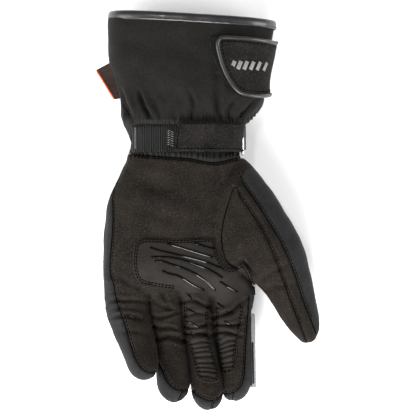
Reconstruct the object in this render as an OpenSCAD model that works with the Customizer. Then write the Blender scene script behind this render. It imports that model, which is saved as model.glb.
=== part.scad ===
// Insulated gauntlet glove for the left hand, lying on its back with the palm up.
// +X is the thumb side, -Y the fingertips, +Z out of the palm. Millimetres.
// Every soft layer is a shell lofted through stations across the hand.

/* [Overall] */
// Length from the cuff edge to the middle fingertip, at rest
glove_length = 300; // [270:5:330]

/* [Layers] */
// Thickness of the outer shell panels
shell_t = 2.0; // [1.6:0.1:2.2]
// Thickness of the insulated lining with its bonded membrane
lining_t = 2.4; // [1.8:0.1:2.6]
// Air between two layers of one body
layer_gap = 0.3; // [0.2:0.05:0.4]
// Thickness of a sewn-on patch
patch_t = 1.3; // [0.8:0.1:1.6]

/* [Straps] */
// Width of the wrist webbing
webbing_w = 20; // [18:1:22]
// Thickness of the wrist webbing
webbing_t = 1.5; // [1.2:0.1:1.8]
// Thickness of a folded closure tab
tab_t = 2.0; // [1.6:0.1:2.4]
// Thickness of one hook or loop pad
pile_t = 1.0; // [0.6:0.1:1.2]
// Radius of the wire of the strap ring
wire_r = 1.1; // [0.9:0.1:1.3]

/* [Guards] */
// Width of the knuckle guard across the hand
guard_w = 78; // [70:2:84]
// Length of the knuckle guard along the hand
guard_l = 24; // [20:1:28]
// Length of the rubber wiper blade on the index finger
wiper_l = 50; // [44:1:52]
// How far the wiper blade stands off the finger
wiper_h = 4.5; // [3:0.5:5]

/* [Hidden] */
size_k = glove_length / 300;
lining_in = shell_t + layer_gap + 0.6;   // room for the flats of the shell

// A station is [y, centre x, centre z, half width, half height, squareness, slope of y over x].
hand_z = 28;
knuckle_y = -46;
wrist_y = 70;
hand_stations = [
  [39.6, -17.2, hand_z, 41.4, 19.8, 2.6, 0],
  [31, -16.6, hand_z, 46.6, 21, 2.6, 0],
  [15, -23, hand_z, 48.5, 22.4, 2.6, 0],
  [-4, -27.5, hand_z, 50.2, 23, 2.6, 0],
  [-20, -27.5, hand_z, 51.2, 23, 2.7, 0],
  [-33, -25, hand_z, 53.8, 22.8, 2.9, 0],
  [-38, -23.6, hand_z, 55.4, 22.6, 3.0, 0],
  [-46, -22.5, hand_z, 57, 22.4, 3.2, 0]
];
sleeve_stations = [
  [82, -17, hand_z, 33, 15, 2.6, 0],
  [76, -17, hand_z, 38, 18.1, 2.6, 0],
  [70, -17, hand_z, 39.8, 19, 2.6, 0],
  [54, -17.3, hand_z, 40, 19, 2.6, 0],
  [41.4, -17.2, hand_z, 40.4, 19.2, 2.6, 0]
];
root_stations = [
  [-36, -22.5, hand_z, 45.4, 16.6, 2.7, 0],
  [-41, -22.5, hand_z, 50.6, 18.4, 2.7, 0],
  [-46, -22.5, hand_z, 52.0, 18.7, 3.2, 0],
  [-57, -21.5, hand_z, 54.6, 17.6, 4.0, -0.04],
  [-66, -20.5, hand_z, 56.6, 15.6, 5.0, -0.077]
];
root_back_rim = [-72.5, -20.5, hand_z, 56.6, 15.2, 5.0, -0.077];
cuff_stations = [
  [72, -16.4, hand_z, 46.4, 23.4, 2.6, 0],
  [82, -11.5, 26.6, 53.5, 25, 2.5, 0],
  [98, -10.9, 26, 59.5, 25.8, 2.4, -0.02],
  [113, -11.6, 26, 62.4, 26, 2.4, -0.04],
  [130, -11.7, 26, 63.6, 26, 2.4, -0.07],
  [141, -11.2, 26, 62.8, 26, 2.4, -0.08]
];
// The thumb gusset's stations: [y, x of its seam with the palm, x of its outer edge, half height, slope].
gusset_stations = [
  [32, 26, 37, 15.5, 0],
  [15, 19, 47, 18, 0],
  [-4, 13, 59, 19.5, 0],
  [-20, 11, 68, 20, 0.12],
  [-33, 15, 74, 19.4, 0.28],
  [-46, 36, 78, 18.2, 0.42]
];

// A finger is [hinge centre, yaw towards the thumb side, length, half width, half height,
// pitch at the hinge, pitch at the tip, share of the size left at the tip].
little = [[-61.9, -70, hand_z], 10.6, 60, 11.8, 12.2, 8, 40, 0.92];
ring = [[-34.8, -72, hand_z], 5.5, 76, 11.4, 12.2, 3, 31, 0.96];
middle = [[-9, -74, hand_z], 4.6, 78, 11.5, 12.4, 2, 25, 0.95];
index = [[17.6, -76, hand_z], 2.8, 71, 12.2, 12.4, 2, 22, 0.9];
thumb = [[57, -52, hand_z], 23, 55, 17.6, 15, 3, 14, 0.62];
rear_turns = [-40, -20];   // how far behind the hinge a finger's round base reaches, in degrees
dome_turns = [0, 25, 50, 70, 84];
front_seam = [22, 158];    // angles round a finger where its front panel ends
palm_seam = 155;           // angle round the hand of the little-finger side seam
grip_x = [-54, 8];         // sides of the palm grip patch
wrist_y_low = 44;          // lower edge of the wrist strap
tab_end_x = -25;           // free end of the wrist tab
ring_at = [26.4, 36];      // x and z of the strap ring's upper bar
ring_drop = 9;             // distance between the ring's two long bars
cuff_tab_ys = [128, 114, 101, 91, 86];
cuff_tab_xs = [7.5, 9, 13, 19.5, 29];
pile_shift = 6;            // how far the loop pile shows past the tab

// --- lofting -------------------------------------------------------------

function signed_power(value, power) = sign(value) * pow(abs(value), power);

// A point round a superellipse with half sizes a and b along the axes u and v.
function round_point(centre, u, v, a, b, square, turn) =
  centre + u * (a * signed_power(cos(turn), 2 / square)) + v * (b * signed_power(sin(turn), 2 / square));

// A section is [centre, u, v, a, b, squareness, slope of y over x].
function section(s, inset) =
  [[s[1], s[0], s[2]], [1, 0, 0], [0, 0, 1], s[3] - inset, s[4] - inset, s[5], s[6]];
function section_point(s, turn) =
  let (p = round_point(s[0], s[1], s[2], s[3], s[4], s[5], turn))
  [p[0], p[1] + s[6] * (p[0] - s[0][0]), p[2]];

// The angle round a hand station, on the palm side, of the point at x.
function turn_at(s, x, inset) =
  let (share = min(1, max(-1, (x - s[1]) / (s[3] - inset))))
  acos(signed_power(share, s[5] / 2));

function side_faces(rows, n, closed) = [
  for (i = [0:rows - 2], j = [0:n - (closed ? 1 : 2)])
    let (k = (j + 1) % n, a = i * n)
    each [[a + j, a + n + j, a + n + k], [a + j, a + n + k, a + k]]
];

// A shell over an arc: outer and inner lists of sections, with the arc's two angles at each.
module shell(outer, inner, starts, ends, steps = 12) {
  rows = len(outer);
  n = 2 * steps + 2;
  points = [
    for (i = [0:rows - 1])
      each [
        for (j = [0:steps]) section_point(outer[i], starts[i] + (ends[i] - starts[i]) * j / steps),
        for (j = [steps:-1:0]) section_point(inner[i], starts[i] + (ends[i] - starts[i]) * j / steps)
      ]
  ];
  last = (rows - 1) * n;
  caps = [
    for (j = [0:steps - 1]) each [
      [j, j + 1, n - 2 - j], [j, n - 2 - j, n - 1 - j],
      [last + j, last + n - 2 - j, last + j + 1], [last + j, last + n - 1 - j, last + n - 2 - j]
    ]
  ];
  polyhedron(points, concat(side_faces(rows, n, true), caps), convexity = 8);
}

// A hollow stall closed at its tip: inner and outer lists of sections, both from base to tip.
module cup(outer, inner, steps = 16) {
  rings = concat([for (i = [len(inner) - 1:-1:0]) inner[i]], outer);
  rows = len(rings);
  points = [for (r = rings, j = [0:steps - 1]) section_point(r, 360 * j / steps)];
  last = (rows - 1) * steps;
  caps = [
    for (j = [1:steps - 2]) each [[0, j, j + 1], [last, last + j + 1, last + j]]
  ];
  polyhedron(points, concat(side_faces(rows, steps, true), caps), convexity = 8);
}

// A panel of the hand or cuff between two angles, `inset` below the outer surface.
module panel(stations, inset, thick, starts, ends, steps = 12) {
  shell([for (s = stations) section(s, inset)], [for (s = stations) section(s, inset + thick)], starts, ends, steps);
}

function several(value, count) = [for (i = [1:count]) value];
function between(low, high, share) = low + (high - low) * share;

// The station at height y on a list of stations, with its own slope.
function station_at(list, y, slope, i = 0) =
  i >= len(list) - 2 || y >= list[i + 1][0]
    ? let (
        share = (y - list[i][0]) / (list[i + 1][0] - list[i][0]),
        mixed = [for (k = [1:5]) between(list[i][k], list[i + 1][k], share)]
      )
      concat([y], mixed, [slope])
    : station_at(list, y, slope, i + 1);

// --- fingers -------------------------------------------------------------

path_steps = 12;
function pitch_at(f, s) = f[5] + (f[6] - f[5]) * pow(max(0, s) / f[2], 1.2);
function heading(f, pitch) = [sin(f[1]) * cos(pitch), -cos(f[1]) * cos(pitch), sin(pitch)];
function add_up(list, i = 0) = i == len(list) - 1 ? list[i] : list[i] + add_up(list, i + 1);
function centre_at(f, s) =
  s <= 0
    ? f[0] + heading(f, f[5]) * s
    : f[0] + add_up([for (k = [0.5:path_steps]) heading(f, pitch_at(f, s * k / path_steps)) * (s / path_steps)]);
function finger_section(f, s, scale_by, inset) =
  let (
    u = [cos(f[1]), sin(f[1]), 0],
    v = cross(heading(f, pitch_at(f, s)), u),
    taper = between(1, f[7], max(0, s) / f[2])
  )
  [centre_at(f, s), u, v, (f[3] * taper - inset) * scale_by, (f[4] * taper - inset) * scale_by, 2.3, 0];

// Sections from the round base, along the stall, to the domed tip.
function finger_sections(f, inset) =
  let (dome = f[4] * f[7] - inset, start = f[2] - f[4] * f[7])
  concat(
    [for (t = rear_turns) finger_section(f, (f[4] - inset) * sin(t), cos(t), inset)],
    [for (share = [0, 0.35, 0.7]) finger_section(f, start * share, 1, inset)],
    [for (t = dome_turns) finger_section(f, start + dome * sin(t), cos(t), inset)]
  );

module finger_panel(f, inset, thick, turns) {
  outer = finger_sections(f, inset);
  count = len(outer);
  shell(outer, finger_sections(f, inset + thick), several(turns[0], count), several(turns[1], count), 10);
}

module front_panel(f) {
  color("#26241f") finger_panel(f, 0, shell_t, [front_seam[0] + 1, front_seam[1] - 1]);
}

module finger_back(f) {
  color("#2b2c2d") finger_panel(f, 0, shell_t, [front_seam[1] + 1, front_seam[0] + 359]);
}

module finger_lining(f) {
  color("#3a3a3c") cup(finger_sections(f, lining_in), finger_sections(f, lining_in + lining_t), 14);
}

module grip_strip(f, first, last) {
  marks = [for (k = [0:5]) between(first, last, k / 5)];
  color("#1c1a18") shell(
    [for (s = marks) finger_section(f, s, 1, -layer_gap - patch_t)],
    [for (s = marks) finger_section(f, s, 1, -layer_gap)],
    several(40, 6), several(140, 6), 8
  );
}

// --- hand ----------------------------------------------------------------

function seam_x(y, i = 0) =
  i >= len(gusset_stations) - 2 || y >= gusset_stations[i + 1][0]
    ? between(
        gusset_stations[i][1], gusset_stations[i + 1][1],
        (y - gusset_stations[i][0]) / (gusset_stations[i + 1][0] - gusset_stations[i][0])
      )
    : seam_x(y, i + 1);
function thumb_turn(s, inset) = s[0] > 33 ? 1 : turn_at(s, seam_x(s[0]) - layer_gap, inset) + 0.3;
palm_cut = [for (i = [0:6]) hand_stations[i]];
gusset = [
  for (g = gusset_stations) [g[0], g[1], hand_z, g[2] - g[1], g[3], 2.3, g[4]]
];

module palm_panel() {
  color("#26241f") panel(
    palm_cut, 0, shell_t,
    [for (s = palm_cut) thumb_turn(s, 0)], several(palm_seam - 1, 7), 14
  );
}

module back_panel() {
  color("#2b2c2d") panel(
    hand_stations, 0, shell_t,
    several(palm_seam + 1, 8), [for (s = hand_stations) 360 - thumb_turn(s, 0)], 20
  );
}

module hand_lining() {
  lined = concat(
    [for (i = [2:4]) sleeve_stations[i]],
    [for (i = [1:5]) palm_cut[i]]
  );
  color("#3a3a3c") panel(
    lined, lining_in, lining_t,
    [for (s = lined) thumb_turn(s, lining_in) + 1],
    [for (s = lined) 359 - thumb_turn(s, lining_in)], 20
  );
}

module thumb_gusset() {
  color("#26241f") panel(gusset, 0, shell_t, several(-88, 6), several(88, 6), 12);
}

module thumb_base_lining() {
  color("#3a3a3c") panel(gusset, lining_in, lining_t, several(-80, 6), several(80, 6), 12);
}

module wrist_sleeve() {
  color("#1d1d1e") panel(sleeve_stations, 0, shell_t, several(1, 5), several(359, 5), 24);
}

// A band round the wrist or hand, `lift` above the surface, between two heights and two x places.
module wrist_band(y_low, y_high, lift, thick, x_right, x_left, slope = 0, list = sleeve_stations, steps = 12) {
  rows = [station_at(list, y_high, slope), station_at(list, y_low, slope)];
  shell(
    [for (s = rows) section(s, -lift - thick)], [for (s = rows) section(s, -lift)],
    [for (s = rows) turn_at(s, x_right, -lift)], [for (s = rows) turn_at(s, x_left, -lift)], steps
  );
}

module wrist_elastic() {
  color("#141414") wrist_band(42, 43.6, layer_gap, 1.0, 18, -52);
}

module wrist_webbing() {
  color("#121212") wrist_band(wrist_y_low, wrist_y_low + webbing_w, layer_gap, webbing_t, 19, -56.6);
}

module webbing_pile() {
  lift = 2 * layer_gap + webbing_t;
  color("#0e0e0e") wrist_band(wrist_y_low + 1.5, wrist_y_low + webbing_w - 1.5, lift, pile_t, 12, -32);
}

module bar(at, length, radius) {
  translate(at) rotate([-90, 0, 0]) cylinder(r = radius, h = length, $fn = 32);
}

module strap_ring() {
  low_y = wrist_y_low - 2.2;
  span = webbing_w + 5;
  color("silver") union() {
    for (z = [ring_at[1], ring_at[1] - ring_drop]) bar([ring_at[0], low_y, z], span, wire_r);
    for (y = [low_y, low_y + span]) {
      translate([ring_at[0], y, ring_at[1] - ring_drop]) cylinder(r = wire_r, h = ring_drop, $fn = 32);
      for (z = [ring_at[1], ring_at[1] - ring_drop])
        translate([ring_at[0], y, z]) sphere(r = wire_r, $fn = 32);
    }
  }
}

// The webbing loop that holds the ring's lower bar to the wrist.
module ring_keeper() {
  bar_z = ring_at[1] - ring_drop;
  bore = wire_r + 0.1;
  color("#121212") difference() {
    union() {
      bar([ring_at[0], wrist_y_low + 1, bar_z], webbing_w - 2, bore + webbing_t);
      translate([ring_at[0] - 2.2, wrist_y_low + 1, bar_z - 8]) cube([webbing_t, webbing_w - 2, 8]);
    }
    bar([ring_at[0], wrist_y_low, bar_z], webbing_w, bore);
  }
}

module grip_patch() {
  rows = [for (y = [-21, -30, -37.6]) station_at(hand_stations, y, 0)];
  color("#1c1a18") shell(
    [for (s = rows) section(s, -layer_gap - patch_t)], [for (s = rows) section(s, -layer_gap)],
    [for (s = rows) turn_at(s, grip_x[1], 0)], [for (s = rows) turn_at(s, grip_x[0], 0)], 12
  );
}

// Raised silicone lines printed across the grip patch.
module grip_ribs() {
  lift = 2 * layer_gap + patch_t;
  color("#050505") for (k = [0:3])
    wrist_band(-25.2 - 3 * k, -24 - 3 * k, lift, 0.7, 2, -40 + 4 * k, -0.03, hand_stations, 10);
}

// Padded guard over the knuckles, sewn to the back; the glove rests on its flat face.
module knuckle_guard() {
  seat_z = hand_z - 22.6 - layer_gap;
  corner = guard_l / 2;
  side = guard_w / 2 - corner;
  color("#18181a") translate([-24, -28, 0]) union() {
    linear_extrude(height = seat_z - 1.2) square([2 * side, guard_l], center = true);
    for (x = [-side, side]) translate([x, 0, 0]) cylinder(r = corner, h = seat_z - 1.2, $fn = 48);
    linear_extrude(height = seat_z - 0.2) square([2 * side - 20, guard_l - 4], center = true);
  }
}

// --- knuckle section -----------------------------------------------------

module knuckle_palm_panel() {
  color("#26241f") panel(root_stations, 0, shell_t, several(1, 5), several(palm_seam - 1, 5), 14);
}

module knuckle_back_panel() {
  rows = concat([for (i = [0:3]) root_stations[i]], [root_back_rim]);
  color("#2b2c2d") panel(rows, 0, shell_t, several(palm_seam + 1, 5), several(359, 5), 14);
}

module knuckle_lining() {
  rows = [for (i = [1:3]) root_stations[i]];
  color("#3a3a3c") panel(rows, lining_in, lining_t, several(1, 3), several(359, 3), 24);
}

module knuckle_grip_patch() {
  rows = [for (y = [-50, -57, -63]) station_at(root_stations, y, -0.03)];
  color("#1c1a18") shell(
    [for (s = rows) section(s, -layer_gap - 0.25 - patch_t)], [for (s = rows) section(s, -layer_gap - 0.25)],
    [for (s = rows) turn_at(s, 26, 0)], [for (s = rows) turn_at(s, between(-54, -22, (-50 - s[0]) / 13), 0)], 12
  );
}

// A rubber blade on a sewn flange, along the thumb side of the index finger.
module visor_wiper() {
  flange_w = 7;
  flange_t = 1.4;
  blade_t = 1.6;
  side_x = index[0][0] + index[3] + 1.2;
  color("#6d6e70") translate([side_x, -80, hand_z]) rotate([-8, 0, 1.4]) translate([0, -wiper_l, -flange_w / 2]) union() {
    cube([flange_t, wiper_l, flange_w]);
    translate([flange_t - 0.1, 0, flange_w - blade_t]) cube([wiper_h - flange_t + 0.1, wiper_l, blade_t]);
  }
}

// --- cuff ----------------------------------------------------------------

module cuff_palm_panel() {
  color("#202022") panel(cuff_stations, 0, shell_t, several(1, 6), several(179, 6), 16);
}

module cuff_back_panel() {
  color("#202022") panel(cuff_stations, 0, shell_t, several(181, 6), several(359, 6), 16);
}

module cuff_lining() {
  rows = [for (i = [1:5]) cuff_stations[i]];
  color("#3a3a3c") panel(rows, lining_in, lining_t, several(0.6, 5), several(359.4, 5), 30);
}

// Piping tape bound over the edges of both layers.
module cuff_binding() {
  edge = cuff_stations[5];
  rows = [for (dy = [0.3, 4.5]) concat([edge[0] + dy], [for (k = [1:6]) edge[k]])];
  color("#3c3e42") panel(rows, -0.6, shell_t + layer_gap + lining_t + 0.6, several(0.5, 2), several(359.5, 2), 30);
}

// A flap over the cuff's palm side whose free edge follows the closure tab's outline.
module cuff_flap(lift, thick, shift, right_turn) {
  rows = [for (y = cuff_tab_ys) station_at(cuff_stations_down, y, -0.05)];
  count = len(rows);
  shell(
    [for (s = rows) section(s, -lift - thick)], [for (s = rows) section(s, -lift)],
    several(right_turn, count),
    [for (i = [0:count - 1]) turn_at(rows[i], cuff_tab_xs[i] + shift, -lift)], 12
  );
}
cuff_stations_down = [for (i = [5:-1:0]) cuff_stations[i]];
tab_lift = 2 * layer_gap + pile_t;
panel_lift = tab_lift + pile_t + 1;

module cuff_pile() {
  color("#0c0c0c") cuff_flap(layer_gap, pile_t, -pile_shift, 22);
}

module cuff_tab_pad() {
  color("#0e0e0e") cuff_flap(tab_lift + 0.3, pile_t, 6, 26);
}

module cuff_tab_panel() {
  color("#262420") cuff_flap(panel_lift, tab_t, 0, 8);
}

// The sewn root of the closure tab, wrapped round the thumb side of the cuff.
module cuff_tab_base() {
  rows = [for (y = cuff_tab_ys) station_at(cuff_stations_down, y, -0.05)];
  color("#262420") shell(
    [for (s = rows) section(s, -layer_gap - tab_t)], [for (s = rows) section(s, -layer_gap)],
    several(-38, len(rows)), several(2, len(rows)), 8
  );
}

// Glossy cord sewn along the top and bottom edges of the closure tab.
module cuff_tab_piping() {
  lift = panel_lift + tab_t + 0.3;
  color("#3c3e42") for (y = [126.4, 87.6]) {
    rows = [for (dy = [0.8, -0.8]) station_at(cuff_stations_down, y + dy, -0.05)];
    left_x = y > 100 ? 9 : 28;
    shell(
      [for (s = rows) section(s, -lift - 1.4)], [for (s = rows) section(s, -lift)],
      several(12, 2), [for (s = rows) turn_at(s, left_x, -lift)], 12
    );
  }
}

// Woven tag folded into the little-finger side seam.
module side_label() {
  color("#463c3a") translate([0, 0, 25.4]) linear_extrude(height = 1.2)
    polygon([[-84.4, 105.4], [-74.6, 111.3], [-70.7, 98], [-66.4, 84.2], [-70.6, 83]]);
}

// --- wrist tab -----------------------------------------------------------

module wrist_tab_panel() {
  lift = 3 * layer_gap + webbing_t + 2 * pile_t;
  turn_r = wire_r + 0.1;
  y_low = wrist_y_low + 0.4;
  color("#262420") difference() {
    union() {
      wrist_band(y_low, y_low + webbing_w, lift, tab_t, 27, tab_end_x, 0, sleeve_stations, 14);
      bar([ring_at[0], y_low + 0.6, ring_at[1]], webbing_w - 1.2, turn_r + 1.2);
    }
    bar([ring_at[0], y_low - 1, ring_at[1]], webbing_w + 2, turn_r);
  }
}

module wrist_tab_pad() {
  lift = 2.4 * layer_gap + webbing_t + pile_t;
  color("#0e0e0e") wrist_band(wrist_y_low + 2, wrist_y_low + webbing_w - 2, lift, pile_t, 8, tab_end_x + 2);
}

// --- nodes ---------------------------------------------------------------

scale(size_k) {
  palm_panel();
  back_panel();
  thumb_gusset();
  wrist_sleeve();
  wrist_elastic();
  hand_lining();
  thumb_base_lining();
  grip_patch();
  grip_ribs();
  knuckle_guard();
  wrist_webbing();
  webbing_pile();
  strap_ring();
  ring_keeper();
  knuckle_palm_panel();
  knuckle_back_panel();
  knuckle_lining();
  knuckle_grip_patch();
  front_panel(little);  // little_front_panel
  finger_back(little);  // little_back_panel
  finger_lining(little);  // little_lining
  front_panel(ring);  // ring_front_panel
  finger_back(ring);  // ring_back_panel
  finger_lining(ring);  // ring_lining
  front_panel(middle);  // middle_front_panel
  finger_back(middle);  // middle_back_panel
  finger_lining(middle);  // middle_lining
  grip_strip(middle, 8, 56);  // middle_grip_strip
  front_panel(index);  // index_front_panel
  finger_back(index);  // index_back_panel
  finger_lining(index);  // index_lining
  grip_strip(index, 8, 50);  // index_grip_strip
  visor_wiper();
  front_panel(thumb);  // thumb_front_panel
  finger_back(thumb);  // thumb_back_panel
  finger_lining(thumb);  // thumb_lining
  cuff_palm_panel();
  cuff_back_panel();
  cuff_lining();
  cuff_binding();
  cuff_pile();
  cuff_tab_base();
  side_label();
  cuff_tab_panel();
  cuff_tab_pad();
  cuff_tab_piping();
  wrist_tab_panel();
  wrist_tab_pad();
}
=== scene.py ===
"""Looks of an insulated gauntlet glove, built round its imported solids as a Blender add-on."""

import math

import bmesh
import bpy
import numpy as np
from bpy.props import FloatProperty, FloatVectorProperty, IntProperty, PointerProperty
from mathutils import Matrix, Vector
from mathutils.bvhtree import BVHTree
from mathutils.kdtree import KDTree


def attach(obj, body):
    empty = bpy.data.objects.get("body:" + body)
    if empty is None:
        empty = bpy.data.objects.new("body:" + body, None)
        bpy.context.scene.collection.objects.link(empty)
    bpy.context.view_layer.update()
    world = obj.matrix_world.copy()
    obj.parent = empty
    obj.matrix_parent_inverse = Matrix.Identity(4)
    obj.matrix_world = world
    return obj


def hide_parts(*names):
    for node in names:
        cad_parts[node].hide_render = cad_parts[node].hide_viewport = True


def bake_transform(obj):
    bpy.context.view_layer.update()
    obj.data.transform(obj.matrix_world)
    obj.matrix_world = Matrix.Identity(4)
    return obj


bl_info = {
    "name": "Insulated gauntlet glove",
    "version": (1, 0, 0),
    "blender": (4, 5, 0),
    "location": "View3D > Sidebar > Glove",
    "description": "Sews the visible glove over its packed solids, piece by piece",
    "category": "Object",
}

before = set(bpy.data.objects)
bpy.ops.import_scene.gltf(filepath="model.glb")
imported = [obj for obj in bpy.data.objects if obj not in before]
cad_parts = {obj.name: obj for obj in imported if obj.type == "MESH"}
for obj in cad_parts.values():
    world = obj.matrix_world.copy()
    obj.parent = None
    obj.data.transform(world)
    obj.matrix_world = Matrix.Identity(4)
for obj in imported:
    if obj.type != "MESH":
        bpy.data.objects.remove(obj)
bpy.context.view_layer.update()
MM = 0.001

# ---------------------------------------------------------------------------
# The glove's stations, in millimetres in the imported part's frame.

# A ring round the cuff or wrist: y, slope of y over x, little-finger side, thumb side,
# middle height, half thickness, squareness.
CUFF_RINGS = (
    (144.8, -0.058, -75.4, 52.0, 26.0, 25.6, 2.5),
    (138.0, -0.056, -77.6, 52.2, 26.0, 26.0, 2.4),
    (126.0, -0.050, -77.4, 49.6, 26.0, 26.0, 2.4),
    (113.0, -0.040, -76.2, 47.0, 26.0, 25.8, 2.4),
    (101.0, -0.030, -73.2, 45.2, 26.2, 25.4, 2.4),
    (91.0, -0.015, -70.0, 44.6, 26.6, 24.8, 2.5),
    (82.0, 0.0, -67.6, 46.2, 27.2, 23.8, 2.5),
    (74.0, 0.0, -67.0, 41.6, 27.8, 22.0, 2.6),
    (67.0, 0.0, -67.0, 34.6, 28.0, 20.2, 2.6),
)
WRIST_RINGS = (
    (60.0, 0.0, -62.4, 25.4, 28.0, 18.7, 2.6),
    (52.0, 0.0, -58.8, 21.6, 28.0, 18.6, 2.6),
    (45.0, 0.0, -57.8, 22.0, 28.0, 19.0, 2.6),
    (40.0, 0.0, -59.4, 25.4, 28.0, 20.2, 2.6),
)
# A ring round the palm: y, little-finger side, thumb side of its height curve, half thickness,
# then the plan places where its palm row and back row end at the thumb's seam.
PALM_RINGS = (
    (34.5, -65.4, 34.0, 21.6, (27.0, 33.5), (27.0, 34.0)),
    (17.0, -73.0, 35.0, 22.6, (19.0, 15.5), (24.0, 14.0)),
    (-3.0, -79.8, 37.0, 23.2, (12.8, -4.0), (21.0, -6.0)),
    (-21.0, -81.0, 38.0, 23.2, (10.4, -21.0), (21.0, -24.0)),
    (-38.0, -81.6, 38.0, 22.6, (13.5, -38.5), (27.0, -42.0)),
    (-51.5, -81.0, 38.0, 20.6, (26.0, -52.5), (31.0, -54.0)),
)
THUMB_TOP = (37.4, 33.6, 28.0)
THUMB_CROTCH = (37.6, -58.0, 28.0)
# The rim that the four fingers grow from: palm row from little-finger side to thumb side.
FINGER_RIM = (
    (-75.0, -60.0, 38.5), (-61.0, -62.0, 43.8), (-42.8, -57.5, 39.4), (-31.0, -62.5, 43.6),
    (-20.0, -61.5, 39.4), (-8.6, -64.0, 43.6), (2.4, -62.0, 39.4), (18.4, -64.0, 43.8),
    (33.6, -63.0, 38.8),
)
RIM_SIDES = ((-79.6, -60.5, 28.0), (38.0, -63.5, 28.0))
WEBS = ((-42.6, -68.6, 28.0), (-20.0, -71.5, 28.0), (2.6, -71.5, 28.0))
# Stations along a finger: x, y, half width, height of its middle, half thickness.
FINGERS = {
    "little": (
        (-60.0, -71.4, 18.2, 28.8, 13.8), (-59.0, -80.0, 16.8, 30.0, 13.6),
        (-56.2, -89.0, 15.8, 32.2, 13.4), (-53.4, -98.0, 14.6, 35.4, 13.0),
        (-50.8, -106.0, 13.4, 39.2, 12.6), (-48.6, -113.5, 12.4, 43.6, 12.0),
        (-46.6, -119.0, 10.8, 47.6, 10.6), (-45.0, -123.2, 7.8, 50.6, 7.8),
        (-44.2, -125.4, 3.2, 52.0, 3.8),
    ),
    "ring": (
        (-31.0, -75.0, 13.0, 28.6, 13.0), (-29.5, -86.0, 12.1, 29.2, 13.2),
        (-27.8, -97.0, 11.9, 30.6, 13.4), (-26.2, -108.0, 12.0, 32.6, 13.2),
        (-25.6, -118.0, 12.8, 35.4, 13.0), (-26.0, -127.0, 13.8, 38.8, 12.6),
        (-25.2, -134.5, 12.0, 42.4, 11.4), (-24.4, -140.0, 8.6, 45.2, 8.8),
        (-24.0, -142.8, 4.0, 46.8, 4.4),
    ),
    "middle": (
        (-8.3, -77.0, 12.0, 28.6, 13.0), (-7.3, -88.0, 12.0, 29.2, 13.2),
        (-5.7, -99.0, 12.0, 30.2, 13.2), (-3.0, -110.0, 12.3, 32.0, 13.0),
        (-1.4, -121.0, 12.0, 34.4, 12.6), (-0.2, -131.0, 12.8, 37.4, 12.2),
        (0.2, -139.0, 11.8, 40.6, 11.2), (0.8, -145.6, 8.6, 43.2, 8.6),
        (0.8, -149.2, 4.0, 44.6, 4.2),
    ),
    "index": (
        (18.4, -77.0, 15.0, 28.4, 13.0), (18.4, -88.0, 14.5, 28.8, 13.2),
        (19.0, -99.0, 14.2, 29.8, 13.0), (20.2, -110.0, 13.2, 31.2, 12.6),
        (21.6, -121.0, 11.9, 33.2, 12.2), (21.8, -129.6, 11.2, 35.2, 11.6),
        (20.4, -136.0, 10.0, 37.4, 10.2), (18.8, -140.8, 7.4, 39.2, 7.6),
        (18.4, -143.2, 3.2, 40.0, 3.8),
    ),
}
# Stations across the thumb: outer point, inner point, height of its middle, half thickness.
THUMB = (
    ((49.6, 14.6), (38.6, -59.6), 28.0, 20.6),
    ((61.6, -5.6), (39.6, -60.6), 28.2, 20.0),
    ((70.2, -21.0), (41.4, -62.5), 28.6, 19.0),
    ((76.0, -37.0), (44.6, -66.8), 29.2, 17.4),
    ((80.0, -54.0), (49.2, -73.6), 30.2, 15.8),
    ((82.4, -71.0), (55.2, -82.6), 31.6, 14.2),
    ((84.0, -83.5), (62.4, -91.6), 33.2, 12.4),
    ((84.2, -92.6), (68.6, -98.2), 34.8, 9.6),
    ((80.6, -99.0), (74.0, -101.6), 36.0, 4.6),
)
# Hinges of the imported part: a point on the axis, and the way the piece points away from it.
HINGES = {
    "little": ((-61.9, -70.0, 28.0), 10.6), "ring": ((-34.8, -72.0, 28.0), 5.5),
    "middle": ((-9.0, -74.0, 28.0), 4.6), "index": ((17.6, -76.0, 28.0), 2.8),
    "thumb": ((57.0, -52.0, 28.0), 23.0),
}
ZONES = ("cuff", "palm", "thumb", "little", "ring", "middle", "index")

# Seams and outlines in plan, from above the palm.
WRIST_HEM = (
    (-75, 41), (-55, 41.5), (-48, 40.4), (-27.9, 38.9), (-12.8, 37.9), (-2.7, 35.6), (4.3, 34.6),
    (12.4, 35.9), (22.5, 38.9), (45, 42),
)
SIDE_SEAM = (
    (-56, 60), (-60, 40), (-67, 26), (-71.5, 12), (-70.6, -4), (-71.5, -22), (-73.4, -42),
    (-73, -50), (-70.3, -55), (-69, -66), (-66.5, -74), (-62.8, -83), (-58.7, -96), (-54.5, -109),
    (-50.5, -116.5), (-45, -121), (-38, -122.5), (-30, -119),
)
GUSSET_SEAM = (
    (22, 40), (19.5, 16.2), (33.2, -2.7), (43.2, -19), (50.6, -36.4), (56.9, -54), (63.1, -71),
    (69.4, -86), (76, -104),
)
THUMB_SEAM = (
    (22, 44), (23.1, 24.1), (32, 12.2), (46.9, -10.2), (55.7, -25.2), (64.4, -45.2), (70.6, -65.2),
    (76.9, -81.3), (84, -100),
)
FRONTS = {
    "little": SIDE_SEAM[8:] + ((-28, -112), (-28, -40), (-73, -40)),
    "ring": (
        (-62, -40), (-62, -108), (-39, -112), (-34, -120), (-31.7, -126), (-26.9, -132),
        (-19.7, -135), (-12.5, -135), (-2, -133), (-2, -40),
    ),
    "middle": (
        (-27, -40), (-27, -128), (-14, -133), (-10.7, -136), (-6.4, -139.4), (1.9, -143),
        (8.5, -141.5), (13, -136), (22, -131), (22, -40),
    ),
    "index": (
        (-4, -40), (-4, -135), (8, -138.5), (13.2, -138), (19.5, -137), (23.3, -134), (26.3, -130),
        (27.7, -123.7), (28.8, -102), (30.2, -80.5), (31.5, -66), (33, -40),
    ),
}
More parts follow.
